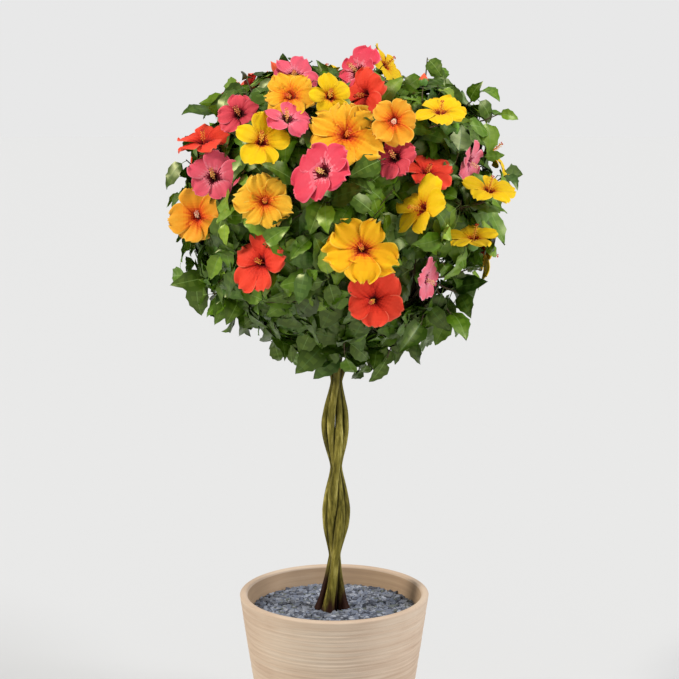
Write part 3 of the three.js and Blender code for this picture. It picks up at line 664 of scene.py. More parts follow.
def boughPath(start, along, mass):
    length = (mass["entry"] - start).length
    lean = length * (boughSize["lowLean"] if mass["rise"] < 0 else boughSize["lean"])
    ends = (start, start + along * lean, mass["entry"] - mass["normal"] * lean, mass["entry"])
    return [bezier(*ends, i / boughSize["steps"]) for i in range(boughSize["steps"] + 1)]


def boughBarkFinish():  # older wood in the crown: grey-brown, dull, faintly ringed
    finish = newFinish("crownHibiscusBark", "64583c", {"Roughness": 0.75, "IOR": 1.45})
    tree = finish.node_tree
    place = addNode(tree, "ShaderNodeTexCoord").outputs["Object"]
    streaks = addNode(tree, "ShaderNodeTexNoise", {"Vector": place}, {"Scale": 180.0, "Detail": 4.0})  # 5 mm
    dressFinish(finish, streaks.outputs["Fac"], [(0.35, "3e3523"), (0.52, "665a3c"), (0.7, "857a56")],
                streaks.outputs["Fac"], 0.5, 0.001)
    return finish


bm = bmesh.new()
for stemName, stemEnd in stemEnds.items():
    own = sorted([m for m in masses if stemOf(m) == stemName], key=lambda m: -m["rise"])
    leader = None
    for i, mass in enumerate(own):
        if leader:
            fork = boughSize["firstFork"] + boughSize["spacing"] * (len(own) - 1 - i)
            at = round(fork * boughSize["steps"])
            start, thick = leader[at], boughSize["sideThick"]
            towards = (mass["entry"] - start).normalized()
            along = (leader[at + 1] - leader[at]).normalized() * boughSize["keepsOn"]
            along = (along + towards).normalized()
        else:
            start, thick = stemEnd["tip"] - stemEnd["along"] * boughSize["sunk"] * mm, 1.0
            along = stemEnd["along"]
        path = boughPath(start, along, mass)
        leader = leader or path
        shapeTube(bm, path, lambda turn, share, p: barkRadius(
            i, thick * between(boughSize["base"], boughSize["tip"], share) * mm, turn, p),
            boughSize["sides"])
keepPiece("crownBoughs", meshFrom(bm, "crownBoughs"), [boughBarkFinish()],
          ["bough_" + mass["name"] for mass in masses])
print("trunk and boughs are made")

# Blooms. Each kind: how wide, ruffled and open its petals are, and its plain colours: tones from the eye
# outwards, each with the share of the petal where it ends, then rim, column, pollen and stigma
usualBloom = {
    "petals": 5, "waves": 2.2, "open": 8, "curl": 22, "frill": 0.05, "funnel": 0.56, "double": False,
}
bloomKinds = {
    "yellow": {
        "width": 0.45, "ruffle": 0.05, "open": 4, "frill": 0.03,
        "tones": (("7c160e", 0.22), ("b8400f", 0.28), ("dc980c", 0.34), ("e2b40a", 0.55), ("e9c210", 1)),
        "rim": "ecc628", "column": "e8942a", "pollen": "f4bc3c", "stigma": "c8401a",
    },
    "gold": {
        "petals": 6, "width": 0.52, "ruffle": 0.085, "waves": 3.4, "curl": 26, "frill": 0.13,
        "funnel": 0.46, "double": True,
        "tones": (("8e1a0a", 0.18), ("bd360c", 0.26), ("de720e", 0.4), ("e89e1c", 0.6), ("ecb02a", 1)),
        "rim": "eebc44", "column": "ea7020", "pollen": "f8a434", "stigma": "d8421a",
    },
    "lemonGold": {
        "width": 0.56, "ruffle": 0.085, "waves": 3.2, "curl": 20, "frill": 0.13,
        "funnel": 0.46, "double": True,
        "tones": (("7e180a", 0.19), ("bd380e", 0.26), ("e67c16", 0.34), ("efa614", 0.5), ("f4b816", 1)),
        "rim": "f0be34", "column": "ea7020", "pollen": "f8a434", "stigma": "d8421a",
    },
    "apricot": {
        "width": 0.62, "ruffle": 0.04, "waves": 2.6, "open": 12, "curl": 8, "frill": 0.08, "funnel": 0.5,
        "tones": (("a8240e", 0.22), ("e25616", 0.34), ("f2821c", 0.48), ("f8a026", 0.64), ("fab034", 1)),
        "rim": "f4ba48", "column": "f0bca0", "pollen": "f8d4b0", "stigma": "e89080",
    },
    "pink": {
        "width": 0.54, "ruffle": 0.055, "open": 6, "curl": 24,
        "tones": (("460612", 0.28), ("7c1026", 0.33), ("e8808e", 0.42), ("e25e70", 0.6), ("e05468", 1)),
        "rim": "e67082", "column": "eca868", "pollen": "f8c468", "stigma": "e4683a",
    },
    "hotPink": {
        "width": 0.58, "ruffle": 0.065, "waves": 2.4, "frill": 0.06, "funnel": 0.62,
        "tones": (("4e0814", 0.28), ("820f24", 0.34), ("ee8c98", 0.41), ("e04a5e", 0.6), ("de4056", 1)),
        "rim": "e86074", "column": "f0c088", "pollen": "f8d878", "stigma": "ec6a38",
    },
    "rose": {
        "width": 0.56, "ruffle": 0.06, "curl": 24, "funnel": 0.58,
        "tones": (("6a0f34", 0.22), ("a02848", 0.28), ("ea90a0", 0.4), ("e47888", 0.6), ("e26878", 1)),
        "rim": "ee98a8", "column": "f0a0b0", "pollen": "ffd890", "stigma": "d04060",
    },
    "crimson": {
        "width": 0.54, "ruffle": 0.08, "waves": 2.6, "open": 10, "curl": 30, "frill": 0.06, "funnel": 0.58,
        "tones": (("3c060c", 0.28), ("78101e", 0.34), ("c03644", 0.46), ("d24450", 0.62), ("dc4e5a", 1)),
        "rim": "e06674", "column": "d86a50", "pollen": "f4b060", "stigma": "a01828",
    },
    "scarlet": {
        "width": 0.52, "ruffle": 0.065, "waves": 2.0, "open": 6, "curl": 20, "funnel": 0.54,
        "tones": (("5e0a10", 0.18), ("961614", 0.25), ("cc2c1a", 0.4), ("e63e28", 0.62), ("ee4830", 1)),
        "rim": "e66046", "column": "dc4c34", "pollen": "f0a83c", "stigma": "b82018",
    },
}
# A copy of the gold kind in lighter tones: painted light on the one level-facing front bloom that takes it
bloomKinds["litGoldCopy"] = {
    **bloomKinds["gold"], "rim": "f8cc50",
    "tones": (("a0220e", 0.18), ("cf4a14", 0.26), ("ee861a", 0.4), ("f6b02a", 0.6), ("fac238", 1)),
}
bloomSlots = {"rim": 9, "column": 10, "pollen": 11, "stigma": 12, "calyx": 13}  # after a petal's nine tones
petalSize = {
    "columns": 14, "rows": 13, "innerColumns": 8, "innerRows": 7, "fineSteps": 60, "lineLength": 1.16,
    "tubeRadius": 2.4, "steep": 70, "flareFrom": 0.06, "claw": 0.07, "widestAt": 0.7, "roundEnd": 0.33,
    "rimWidth": 0.035, "overlap": 0.12, "pleats": 0.022, "veinLift": 0.3, "skew": 0.1, "unlike": 0.24,
    "openSpread": 22, "turned": 0.34, "scallops": 6.2,
    "petaloids": ((4, 0.46, 24), (4, 0.32, 46)),  # of a double bloom: how many, size, how far they stand up
    "petaloidDrop": 0.86,
}
columnSize = {
    "reach": 0.88, "doubleReach": 0.6, "steps": 7, "sides": 6, "thick": 1.8, "taper": 0.8, "lean": 0.2,
    "anthers": 24, "anthersFrom": 0.5, "anthersSpan": 0.46, "thread": 2.8, "threadSpread": 1.8,
    "pollen": 1.1, "stigmas": 5, "stigma": 1.3, "stigmaOut": 3.0,
}
calyxSize = {"columns": 20, "rows": 5, "drop": 9, "tall": 13, "lobes": 11}
# The blooms of the front half: kind, turn and rise on the head, how far out, radius,
# and the turn and rise each one looks towards
frontBlooms = (
    ("hotPink", -6, 16, 1.08, 57, -36, 26), ("gold", 2, 32, 0.94, 60, 6, 30),
    ("lemonGold", 7, -10, 1.02, 57, 4, 16), ("litGoldCopy", -26, 6, 1.01, 46, -8, 8),
    ("gold", -25, 47, 0.98, 45, -8, 34), ("yellow", -27, 26, 1.06, 49, 20, 26),
    ("yellow", -5, 47, 0.97, 38, 12, 16), ("yellow", 26, 4, 1.03, 55, -52, 26),
    ("yellow", 55, 9, 1.08, 46, 24, 60), ("yellow", 49, -7, 1.04, 47, -8, 72),
    ("yellow", 41, 37, 1.05, 47, -6, 62), ("apricot", 20, 34, 1.03, 38, 4, 6),
    ("apricot", -60, -1, 1.0, 47, -12, 12), ("scarlet", -31, -17, 0.97, 54, -36, 12),
    ("scarlet", 13, -31, 1.01, 51, 2, 4), ("scarlet", 34, 18, 0.92, 46, 22, 56),
    ("scarlet", 13, 52, 0.92, 44, -48, 12), ("scarlet", -61, 27, 1.02, 49, -25, 62),
    ("pink", -50, 14, 1.0, 45, -10, 24), ("pink", -21, 36, 1.0, 42, 24, 48),
    ("hotPink", 35, 80, 0.93, 48, -42, 33), ("yellow", 100, 73, 0.99, 42, 60, 30),
    ("pink", -42, 65, 0.95, 40, 20, 34), ("rose", 60, 20, 0.94, 40, 62, -12),
    ("rose", 35, -24, 0.98, 38, 66, -8), ("crimson", 20, 23, 0.94, 38, -24, 22),
    ("crimson", -52, 40, 0.95, 38, -10, 30),
)
# The rest of the head gets blooms by the source's rule
otherBlooms = {
    "spots": 62, "out": 1.0, "up": 0.2, "lowest": -0.55, "frontEdge": -0.08, "apart": 0.44,
    "order": ("yellow", "scarlet", "gold", "pink", "apricot", "yellow", "crimson", "gold", "scarlet", "pink"),
    "radii": {"yellow": 53, "gold": 60, "apricot": 50, "pink": 55, "crimson": 46, "scarlet": 57},
}


# The tones of a petal with one half way between each two, so that they run softly into each other
def softTones(tones):
    soft = [tones[0]]
    for (colour, end), (nextColour, nextEnd) in zip(tones, tones[1:]):
        soft += [(blendHex(colour, nextColour, 0.5), between(end, nextEnd, 0.45)), (nextColour, nextEnd)]
    return soft


# The middle line of a petal: distance from the axis and height at each row. It rises steeply out of the
# throat, lies open, and curls back at its end.
def petalLine(length, opening, curl, funnel, shares):
    radii, heights, r, z = [], [], petalSize["tubeRadius"] * mm, 0.0
    fine = petalSize["fineSteps"]
    step = petalSize["lineLength"] * length / fine
    for i in range(fine + 1):
        radii.append(r)
        heights.append(z)
        angle = petalSize["steep"] * (1 - ease(petalSize["flareFrom"], funnel, i / fine))
        angle += opening * ease(0.2, 1, i / fine) - curl * ease(0.6, 1.05, i / fine)
        r += step * math.cos(math.radians(angle))
        z += step * math.sin(math.radians(angle))
    at = [share * fine for share in shares]
    return list(zip(np.interp(at, range(fine + 1), radii), np.interp(at, range(fine + 1), heights)))


# Half the width of a petal: a narrow claw, then a broad blade with a blunt round end
def petalHalf(share, widest):
    claw, widestAt = petalSize["claw"], petalSize["widestAt"]
    if share < widestAt:
        return claw + (widest - claw) * ease(-0.05, widestAt, share) ** 1.15
    return widest * math.sqrt(max(0.0, 1 - ((share - widestAt) / petalSize["roundEnd"]) ** 2))


# One petal. A petaloid of a double bloom is a small one that stands up, with scale below one.
def makePetal(bm, kind, radius, turn, seed, scale=1.0, opening=0.0):
    small = scale < 1
    columns = petalSize["innerColumns" if small else "columns"]
    rows = petalSize["innerRows" if small else "rows"]
    thin = petalSize["rimWidth"]  # the last row and the outer columns are thin, for the rim
    shares = [(1 - thin) * k / (rows - 1) for k in range(rows)] + [1.0]
    sides = [-1.0] + [(1 - 2 * thin) * (2 * k / (columns - 2) - 1) for k in range(columns - 1)] + [1.0]
    unlike = petalSize["unlike"]
    length = radius * scale * (1 - unlike / 2 + unlike * chance(seed, 4))
    curl = kind["curl"] * (0.3 + 1.1 * chance(seed, 2)) * (0.4 if small else 1)
    opened = kind["open"] + opening + petalSize["openSpread"] * (chance(seed, 8) - 0.5)
    line = petalLine(length, opened, curl, kind["funnel"], shares)
    deep = line[rows * 3 // 4][1]  # how far the throat lies under the open petals
    drop = line[0][1] if small else deep
    out = around(1, turn)
    side = upward.cross(out)
    phase, sidePhase = anyPhase * chance(seed, 1), anyPhase * chance(seed, 9)
    wide = kind["width"] * (0.86 + 0.24 * chance(seed, 3))
    twist = 0.5 * (chance(seed, 6) - 0.5) * (3 if small else 1)
    frill = kind["frill"]
    tones = softTones(kind["tones"])

    def place(across, along):
        column, row = round(across * columns), round(along * rows)
        u, along = sides[column], shares[row]
        r, z = line[row]
        edge = ease(0.35, 1, along)
        ruffle = math.sin(math.pi * kind["waves"] * u + phase) * (0.35 + 0.65 * abs(u))  # along the end
        ruffle += 0.8 * math.sin(9 * along + sidePhase + 2 * u) * abs(u) ** 3  # and down the sides
        z += kind["ruffle"] * length * edge * ruffle
        tilt = petalSize["overlap"] + twist * along  # one side lies over the next petal
        z += tilt * length * 0.5 * u * ease(0.1, 0.7, along)
        z += petalSize["pleats"] * length * math.cos(4.5 * math.pi * u) * ease(0.05, 0.4, along) * (1 - edge)
        z += petalSize["veinLift"] * mm * (1 if column % 2 else -1) * (1 - edge * 0.5)
        notched = 0.06 * (1 - u * u) - 0.03 * math.exp(-(u / 0.16) ** 2)
        torn = frill * (chance(seed, 100 + column) - 0.5)
        torn += frill * 0.5 * math.sin(petalSize["scallops"] * u + sidePhase)
        r += length * (along ** 6 * notched + along ** 8 * torn)
        aside = u * petalHalf(along, wide) * length + petalSize["skew"] * length * along * along * 0.5
        sideTorn = frill * (chance(seed, 150 + row) - 0.5)
        aside += length * 0.5 * sideTorn * abs(u) ** 6 * edge
        return out * r + side * aside + upward * (z - drop)

    # Colours run outwards in tongues between the veins, and the petal has a pale rim, partly its own colour
    # and partly painted light shining through the thin edge
    def slotOf(across, along):
        column, row = int(across * columns), int(along * rows)
        share = (shares[row] + shares[row + 1]) / 2 * (0.5 + 0.5 * scale)
        tongue = 0.03 * (1 if column % 2 else -1) + 0.05 * (chance(seed, 200 + column) - 0.5)
        if not small and (row == rows - 1 or (along > 0.5 and column in (0, columns - 1))):
            return bloomSlots["rim"]
        for number, (colour, end) in enumerate(tones[:-1]):
            if share + tongue * min(1, 0.5 + number / 2) <= end:
                return number
        veined = column % 2 and share < 0.6 + 0.4 * chance(seed, 230 + column)
        return len(tones) - (2 if veined else 1)

    shapeSheet(bm, columns, rows, place, slotOf)
    return deep


def colourFrom(bm, first, slot):  # the faces made since a count was taken get one slot
    bm.faces.ensure_lookup_table()
    for face in bm.faces[first:]:
        face.material_index = slot


# The column: a slim tube with pollen heads on short threads round its outer half, and stigma pads
def makeColumn(bm, seed, deep, reach):
    steps = columnSize["steps"]
    lean = direction(360 * chance(seed, 6), 0) * reach * columnSize["lean"]
    foot = upward * (-deep - 2 * mm)
    spine = [foot + (upward * reach + lean * (k / steps)) * (k / steps) for k in range(steps + 1)]
    shapeTube(bm, spine, lambda turn, share, p: (columnSize["thick"] - columnSize["taper"] * share) * mm,
              columnSize["sides"], bloomSlots["column"])
    marked = len(bm.faces)
    for k in range(columnSize["anthers"]):
        share = columnSize["anthersFrom"] + columnSize["anthersSpan"] * k / columnSize["anthers"]
        i = int(share * steps)
        root = spine[i].lerp(spine[i + 1], share * steps - i)
        way = (direction(math.degrees(goldenAngle * k), 0) + upward * 0.35).normalized()
        tip = root + way * (columnSize["thread"] + columnSize["threadSpread"] * chance(seed, 60 + k)) * mm
        bmesh.ops.create_icosphere(bm, subdivisions=1, radius=columnSize["pollen"] * mm,
                                   matrix=Matrix.Translation(tip))
        bmesh.ops.create_cone(bm, segments=3, radius1=0.35 * mm, radius2=0.3 * mm, depth=4 * mm,
                              matrix=Matrix.Translation(root.lerp(tip, 0.5)) @ standingOn(way))
    colourFrom(bm, marked, bloomSlots["pollen"])
    marked = len(bm.faces)
    for k in range(columnSize["stigmas"]):
        pad = spine[-1] + direction(360 / columnSize["stigmas"] * k, 30) * columnSize["stigmaOut"] * mm
        bmesh.ops.create_icosphere(bm, subdivisions=1, radius=columnSize["stigma"] * mm,
                                   matrix=Matrix.Translation(pad))
    colourFrom(bm, marked, bloomSlots["stigma"])


def makeCalyx(bm, foot):  # a green cup that widens, with five lobes at its mouth
    def place(across, along):
        turn = fullTurn * across
        lobe = abs(math.sin(turn * 2.5))
        tall = (calyxSize["tall"] + calyxSize["lobes"] * lobe * ease(0.6, 1, along)) * mm * along
        r = (2.6 + 6.2 * ease(0, 0.5, along) + 2.4 * along - 1.5 * ease(0.75, 1, along)) * mm
        return around(r, turn, foot + tall)

    shapeSheet(bm, calyxSize["columns"], calyxSize["rows"], place, lambda across, along: bloomSlots["calyx"])


def makeBloom(kind, radius, seed):
    bm = bmesh.new()
    first = fullTurn * chance(seed, 5)
    radius *= mm
    deep = 0
    for i in range(kind["petals"]):
        turn = first + fullTurn * (i + petalSize["turned"] * (chance(seed, 10 + i) - 0.5)) / kind["petals"]
        deep = max(deep, makePetal(bm, kind, radius, turn, seed * 7 + i))
    for count, scale, opening in petalSize["petaloids"] if kind["double"] else ():
        for i in range(count):
            turn = first + scale * 9 + fullTurn * (i + 0.7 * (chance(seed, 30 + i) - 0.5)) / count
            size = scale * (0.85 + 0.3 * chance(seed, 40 + i + count))
            before = len(bm.verts)
            makePetal(bm, kind, radius, turn, seed * 9 + i + count, size, opening)
            bm.verts.ensure_lookup_table()
            for v in bm.verts[before:]:
                v.co.z -= deep * petalSize["petaloidDrop"]
    reach = radius * columnSize["reach"] * (columnSize["doubleReach"] if kind["double"] else 1)
    makeColumn(bm, seed, deep, reach)
    foot = -deep - calyxSize["drop"] * mm
    makeCalyx(bm, foot)
    bmesh.ops.remove_doubles(bm, verts=bm.verts, dist=sewn)
    return takeShape(bm), foot


def planBlooms():
    plans = []
    for kind, turn, rise, out, radius, lookTurn, lookRise in frontBlooms:
        plans.append({"kind": kind, "way": direction(turn, rise), "out": out, "radius": radius,
                      "facing": direction(lookTurn, lookRise), "front": True})
    dealt = 0
    for i in range(otherBlooms["spots"]):
        way = spreadDirection(i, otherBlooms["spots"])
        crowded = any((plan["way"] - way).length < otherBlooms["apart"] for plan in plans)
        if way.z < otherBlooms["lowest"] or way.y < otherBlooms["frontEdge"] or crowded:
            continue
        kind = otherBlooms["order"][dealt % len(otherBlooms["order"])]
        plans.append({"kind": kind, "way": way, "out": otherBlooms["out"], "front": False,
                      "radius": otherBlooms["radii"][kind],
                      "facing": (headNormal(way) + upward * otherBlooms["up"]).normalized()})
        dealt += 1
    return plans


blooms = []
bloomStamps = {}
for i, plan in enumerate(planBlooms()):
    seed = 900 + i
    shape, calyxFoot = makeBloom({**usualBloom, **bloomKinds[plan["kind"]]}, plan["radius"], seed)
    centre = headPoint(plan["way"], plan["out"])
    place = Matrix.Translation(centre) @ standingOn(plan["facing"])
    bloomStamps.setdefault(plan["kind"], []).append((shape, place, list(range(bloomSlots["calyx"] + 1))))
    blooms.append({**plan, "centre": centre, "radius": plan["radius"] * mm, "seed": seed,
                   "foot": centre + plan["facing"] * calyxFoot, "mass": nearestMass(plan["way"])})

# Hibiscus petals: thin and silky, so they are matt with a faint sheen at the turned edges
petalGloss = {"Roughness": 0.6, "IOR": 1.4, "Sheen Weight": 0.06, "Sheen Roughness": 0.45,
              "Specular IOR Level": 0.16}
calyxGreen = newFinish("greenCalyx", "5a8430", {"Roughness": 0.5, "IOR": 1.45})
for kindName, stamps in bloomStamps.items():
    kind = bloomKinds[kindName]
    finishes = [newFinish(f"{kindName}Petal{number}", colour, petalGloss)
                for number, (colour, end) in enumerate(softTones(kind["tones"]))]
    # the rim tone is partly the petal's own colour and partly painted light through its thin edge
    finishes.append(newFinish(f"{kindName}Rim", kind["rim"], petalGloss))
    finishes += [newFinish(f"{kindName}{part.capitalize()}", kind[part], {"Roughness": 0.7})
                 for part in ("column", "pollen", "stigma")]
    pieceName = f"blooms_{kindName}"
    keepPiece(pieceName, plantOut(pieceName, stamps), finishes + [calyxGreen])
print(f"{len(blooms)} blooms are open")

# Shoots and twigs, grown by the source's rule and on to finer twigs within the same reach. A share is a
# part of the way from the head's centre to its rim, and nodes are where a shoot's first and last leaf sit
shootSize = {
    "count": 100, "nearest": 0.8, "spread": 0.1, "lowest": -0.95, "apart": 0.27, "base": 2.9, "tip": 1.7,
    "nodes": (0.5, 0.985), "bloomNodes": (0.35, 0.84), "fromLow": 0.3, "fromSpan": 0.66,
    "strayLeafReach": 0.14, "strayRoom": 0.02, "strayTip": 1.2, "steps": 6, "bend": 0.35, "upturn": 0.25,
}
# Shoots that stand out of the head: turn, rise and how far the last leaf reaches
strayShoots = (
    (86, 62, 1.24), (88, 68, 1.02), (82, 54, 1.12), (84, 42, 1.24), (84, 33, 1.25), (86, 12.5, 1.19),
    (83, -15, 1.06), (81, -26, 1.05), (79, -36, 1.1), (76, -45, 1.18), (64, -58, 1.16), (84, -62, 1.16),
    (84, -73, 1.12), (60, -80, 1.2), (84, -84, 1.24), (62, -72, 1.2), (0, -82, 1.16), (-84, -82, 1.2),
    (4, -70, 1.15), (-27, -76, 1.16), (-74, -64, 1.14), (-80, -52, 1.06), (-77, -43, 1.12),
    (-82, -35, 1.14), (-88, -25, 1.2), (-86, 56, 1.14), (-85, 19, 1.14), (-85, 46, 1.1), (-86, 53, 1.12),
    (-88, 64, 1.1), (-90, 84, 1.0), (70, 72, 1.05), (20, 84, 1.03), (-86, 39, 1.14),
)
twigSize = {
    "count": 600, "nearest": 0.76, "spread": 0.24, "lowest": -0.97, "base": 1.4, "tip": 0.75,
    "nodes": (0.28, 0.985), "fromLow": 0.3, "fromSpan": 0.45, "leanSkipped": 0.95,
}
# Where the head is open: from turn to turn, from rise to rise
leanPatches = ((27, 145, -50, -9), (-95, -60, 26, 34))
leafSize = {
    "shapes": 16, "length": 69, "least": 0.68, "most": 1.16, "tipLeaf": 0.8, "perTwig": 8, "perShoot": 7,
    "perStray": 7, "perBloom": 4, "limit": 1.13, "lowLimit": 1.01, "topLimit": 1.05,
    "lowBand": (0.25, 0.5), "underBand": (0.88, 0.96), "topBand": (0.5, 0.7),
    "tries": 9, "apart": 11, "tilts": (58, 70, 46, 64), "tipTilt": 26, "sag": 0.5, "flat": 0.22,
    "flatten": 0.85, "up": 0.4, "strayUp": 0.5, "turned": 0.95, "strayTurned": 1.3,
    "columns": 5, "rows": 8, "broad": 0.26, "broader": 0.08,
    "lines": (-1, -0.54, -0.045, 0.045, 0.54, 1),  # edges, side veins and both sides of the midrib
    "stalk": 0.2, "stalkRadius": 0.013, "tooth": 0.02, "veinLift": 0.03, "midrib": 0.012,
}


# True for most of the shoots and twigs where the head is open
def isLean(way, i):
    turn, rise = math.degrees(math.atan2(way.x, -way.y)), math.degrees(math.asin(way.z))
    inside = any(fromTurn < turn < toTurn and fromRise < rise < toRise
                 for fromTurn, toTurn, fromRise, toRise in leanPatches)
    return inside and chance(i, 95) < twigSize["leanSkipped"]


tips = [{"way": direction(turn, rise), "share": reach - shootSize["strayLeafReach"],
         "limit": reach + shootSize["strayRoom"], "seed": 500 + i, "stray": True}
        for i, (turn, rise, reach) in enumerate(strayShoots)]
for i in range(shootSize["count"]):
    way = spreadDirection(i, shootSize["count"])
    underBloom = any((b["way"] - way).length < shootSize["apart"] for b in blooms)
    if way.z < shootSize["lowest"] or underBloom or isLean(way, i):
        continue
    tips.append({"way": way, "share": shootSize["nearest"] + shootSize["spread"] * chance(i, 1),
                 "limit": leafSize["limit"], "seed": i, "stray": False})


# A shoot leaves its parent and bends over towards its tip
def bentPath(start, end, along):
    length, steps, bend = (end - start).length, shootSize["steps"], shootSize["bend"]
    finish = (end - start).normalized() + upward * shootSize["upturn"]
    ends = (start, start + along * length * bend, end - finish.normalized() * length * bend, end)
    return [bezier(*ends, i / steps) for i in range(steps + 1)]


def alongPath(path, share):  # the point at a share of a path, and the way the path runs there
    place = min(share, 0.999) * (len(path) - 1)
    i = int(place)
    return path[i].lerp(path[i + 1], place - i), (path[i + 1] - path[i]).normalized()


shoots = []
for mass in masses:
    own = [{**tip, "to": headPoint(tip["way"], tip["share"]), "nodes": shootSize["nodes"], "bloom": None,
            "leaves": leafSize["perStray" if tip["stray"] else "perShoot"]}
           for tip in tips if nearestMass(tip["way"]) is mass]
    own += [{"way": b["way"], "to": b["foot"], "nodes": shootSize["bloomNodes"], "bloom": b,
             "leaves": leafSize["perBloom"], "limit": leafSize["limit"], "seed": b["seed"], "stray": False}
            for b in blooms if b["mass"] is mass]
    own.sort(key=lambda shoot: shoot["way"].dot(mass["way"]))
    for i, shoot in enumerate(own):
        share = head["innerShell"] + head["massStem"] * (
            shootSize["fromLow"] + shootSize["fromSpan"] * (i + 0.5) / len(own))
        shoot["path"] = bentPath(headPoint(mass["way"], share), shoot["to"], mass["normal"])
        shoot["mass"] = mass
        shoots.append(shoot)

twigs = []
for i in range(twigSize["count"]):
    way = spreadDirection(i, twigSize["count"])
    if way.z < twigSize["lowest"] or isLean(way, i):
        continue
    mass = nearestMass(way)
    parent = max([s for s in shoots if s["mass"] is mass and not s["stray"]],
                 key=lambda shoot: shoot["way"].dot(way))
    start, along = alongPath(parent["path"], twigSize["fromLow"] + twigSize["fromSpan"] * chance(i, 91))
    share = twigSize["nearest"] + twigSize["spread"] * chance(i, 92)
    twigs.append({"way": way, "path": bentPath(start, headPoint(way, share), along), "mass": mass,
                  "nodes": twigSize["nodes"], "leaves": leafSize["perTwig"], "limit": leafSize["limit"],
                  "seed": 2000 + i, "bloom": None, "stray": False, "share": share})

# Wood of the head: tubes along every mass stem, shoot and twig
massWood = {"base": 4.2, "tip": 2.8, "sunk": 3}
woodCurve = bpy.data.curves.new("leafyWood", "CURVE")
woodCurve.dimensions = "3D"
woodCurve.bevel_depth = 1.0
woodCurve.bevel_resolution = 1
woodCurve.use_fill_caps = True


def addWood(path, base, tip, slot):
    spline = woodCurve.splines.new("POLY")
    spline.points.add(len(path) - 1)
    spline.material_index = slot
    for i, (point, p) in enumerate(zip(spline.points, path)):
        point.co = (*p, 1)
        point.radius = (base + (tip - base) * i / (len(path) - 1)) * mm


brown, green = 0, 1  # slots of the wood
for mass in masses:
    inner = mass["entry"] - mass["normal"] * massWood["sunk"] * mm
    outer = headPoint(mass["way"], head["innerShell"] + head["massStem"])
    addWood([inner, mass["entry"], outer], massWood["base"], massWood["tip"], brown)
for shoot in shoots:
    addWood(shoot["path"], shootSize["base"], shootSize["strayTip" if shoot["stray"] else "tip"],
            green if shoot["bloom"] or shoot["stray"] else brown)
for twig in twigs:
    addWood(twig["path"], twigSize["base"], twigSize["tip"], green)
holder = putInScene("leafyWoodCurve", woodCurve)
woodMesh = bpy.data.meshes.new_from_object(holder.evaluated_get(bpy.context.evaluated_depsgraph_get()))
bpy.data.objects.remove(holder)
woodMesh.materials.clear()
keepPiece("leafyWood", woodMesh, [  # ripe wood is brown and dull, young wood green and smoother
    newFinish("brownTwigBark", "53452b", {"Roughness": 0.75, "IOR": 1.45}),
    newFinish("greenTwigSkin", "5c6a2a", {"Roughness": 0.55, "IOR": 1.45}),
])


# A leaf of its own outline: a broad pointed oval with small teeth, folded along its midrib, arched and
# drooping, on a thin stalk. Slots: blade, midrib, stalk, blade along a side vein. Its length is one.
def makeLeaf(seed):
    bm = bmesh.new()
    width = leafSize["broad"] + leafSize["broader"] * chance(seed, 1)
    fold = 0.04 + 0.34 * chance(seed, 2) ** 1.5
    arch = 1.5 * chance(seed, 8) - 0.4
    droop = math.radians(8 + 68 * chance(seed, 3))
    pitch = math.radians(2 + 20 * chance(seed, 4))
    wave = 0.016 + 0.04 * chance(seed, 5)
    phase = anyPhase * chance(seed, 6)
    lean = 0.24 * (chance(seed, 7) - 0.5)
    lines, columns, rows, stalk = leafSize["lines"], leafSize["columns"], leafSize["rows"], leafSize["stalk"]
    spine = [Vector((0, stalk, 0))]
    for i in range(rows):
        angle = -pitch - droop * (i + 0.5) / rows
        spine.append(spine[-1] + Vector((lean / rows * (i / rows) * 2, math.cos(angle) / rows,
                                         math.sin(angle) / rows)))

    def place(across, along):
        u = lines[round(across * columns)]
        side = 1 if u > 0 else -1
        j = round(along * rows)
        half = width * 3.0 * along ** 0.58 * (1 - along) ** 1.12
        p = spine[j].copy()
        if abs(u) == 1 and 1 < j < rows:  # teeth
            half *= 1.06 if j % 2 else 0.94
            p.y += leafSize["tooth"] if j % 2 else 0.0
        x = u * half
        p.x += x
        p.z += fold * abs(x) - arch * x * x
        p.z += wave * math.sin(10 * along + phase + (1.5 if u > 0 else 0)) * u * u
        if abs(u) == lines[4]:  # the side veins lift the blade between them
            p.z += leafSize["veinLift"] * (1 if j % 2 else -1)
        if abs(u) == lines[3]:  # the midrib stands up and narrows to the tip
            p.x = spine[j].x + leafSize["midrib"] * side * (1 - 0.7 * along)
            p.z += leafSize["midrib"] / 3
        return p

    def slotOf(across, along):
        if 0.4 < across < 0.6:
            return 1
        return 3 if 0.2 < across < 0.8 and int(along * rows) % 2 else 0

    shapeSheet(bm, columns, rows, place, slotOf)
    stalkPath = [Vector((0, 0, 0)), Vector((0, stalk * 0.5, 0.012)), Vector((0, stalk, 0))]
    shapeTube(bm, stalkPath, lambda turn, share, p: leafSize["stalkRadius"], 3, 2)
    return takeShape(bm)


leafShapes = [makeLeaf(40 + k) for k in range(leafSize["shapes"])]
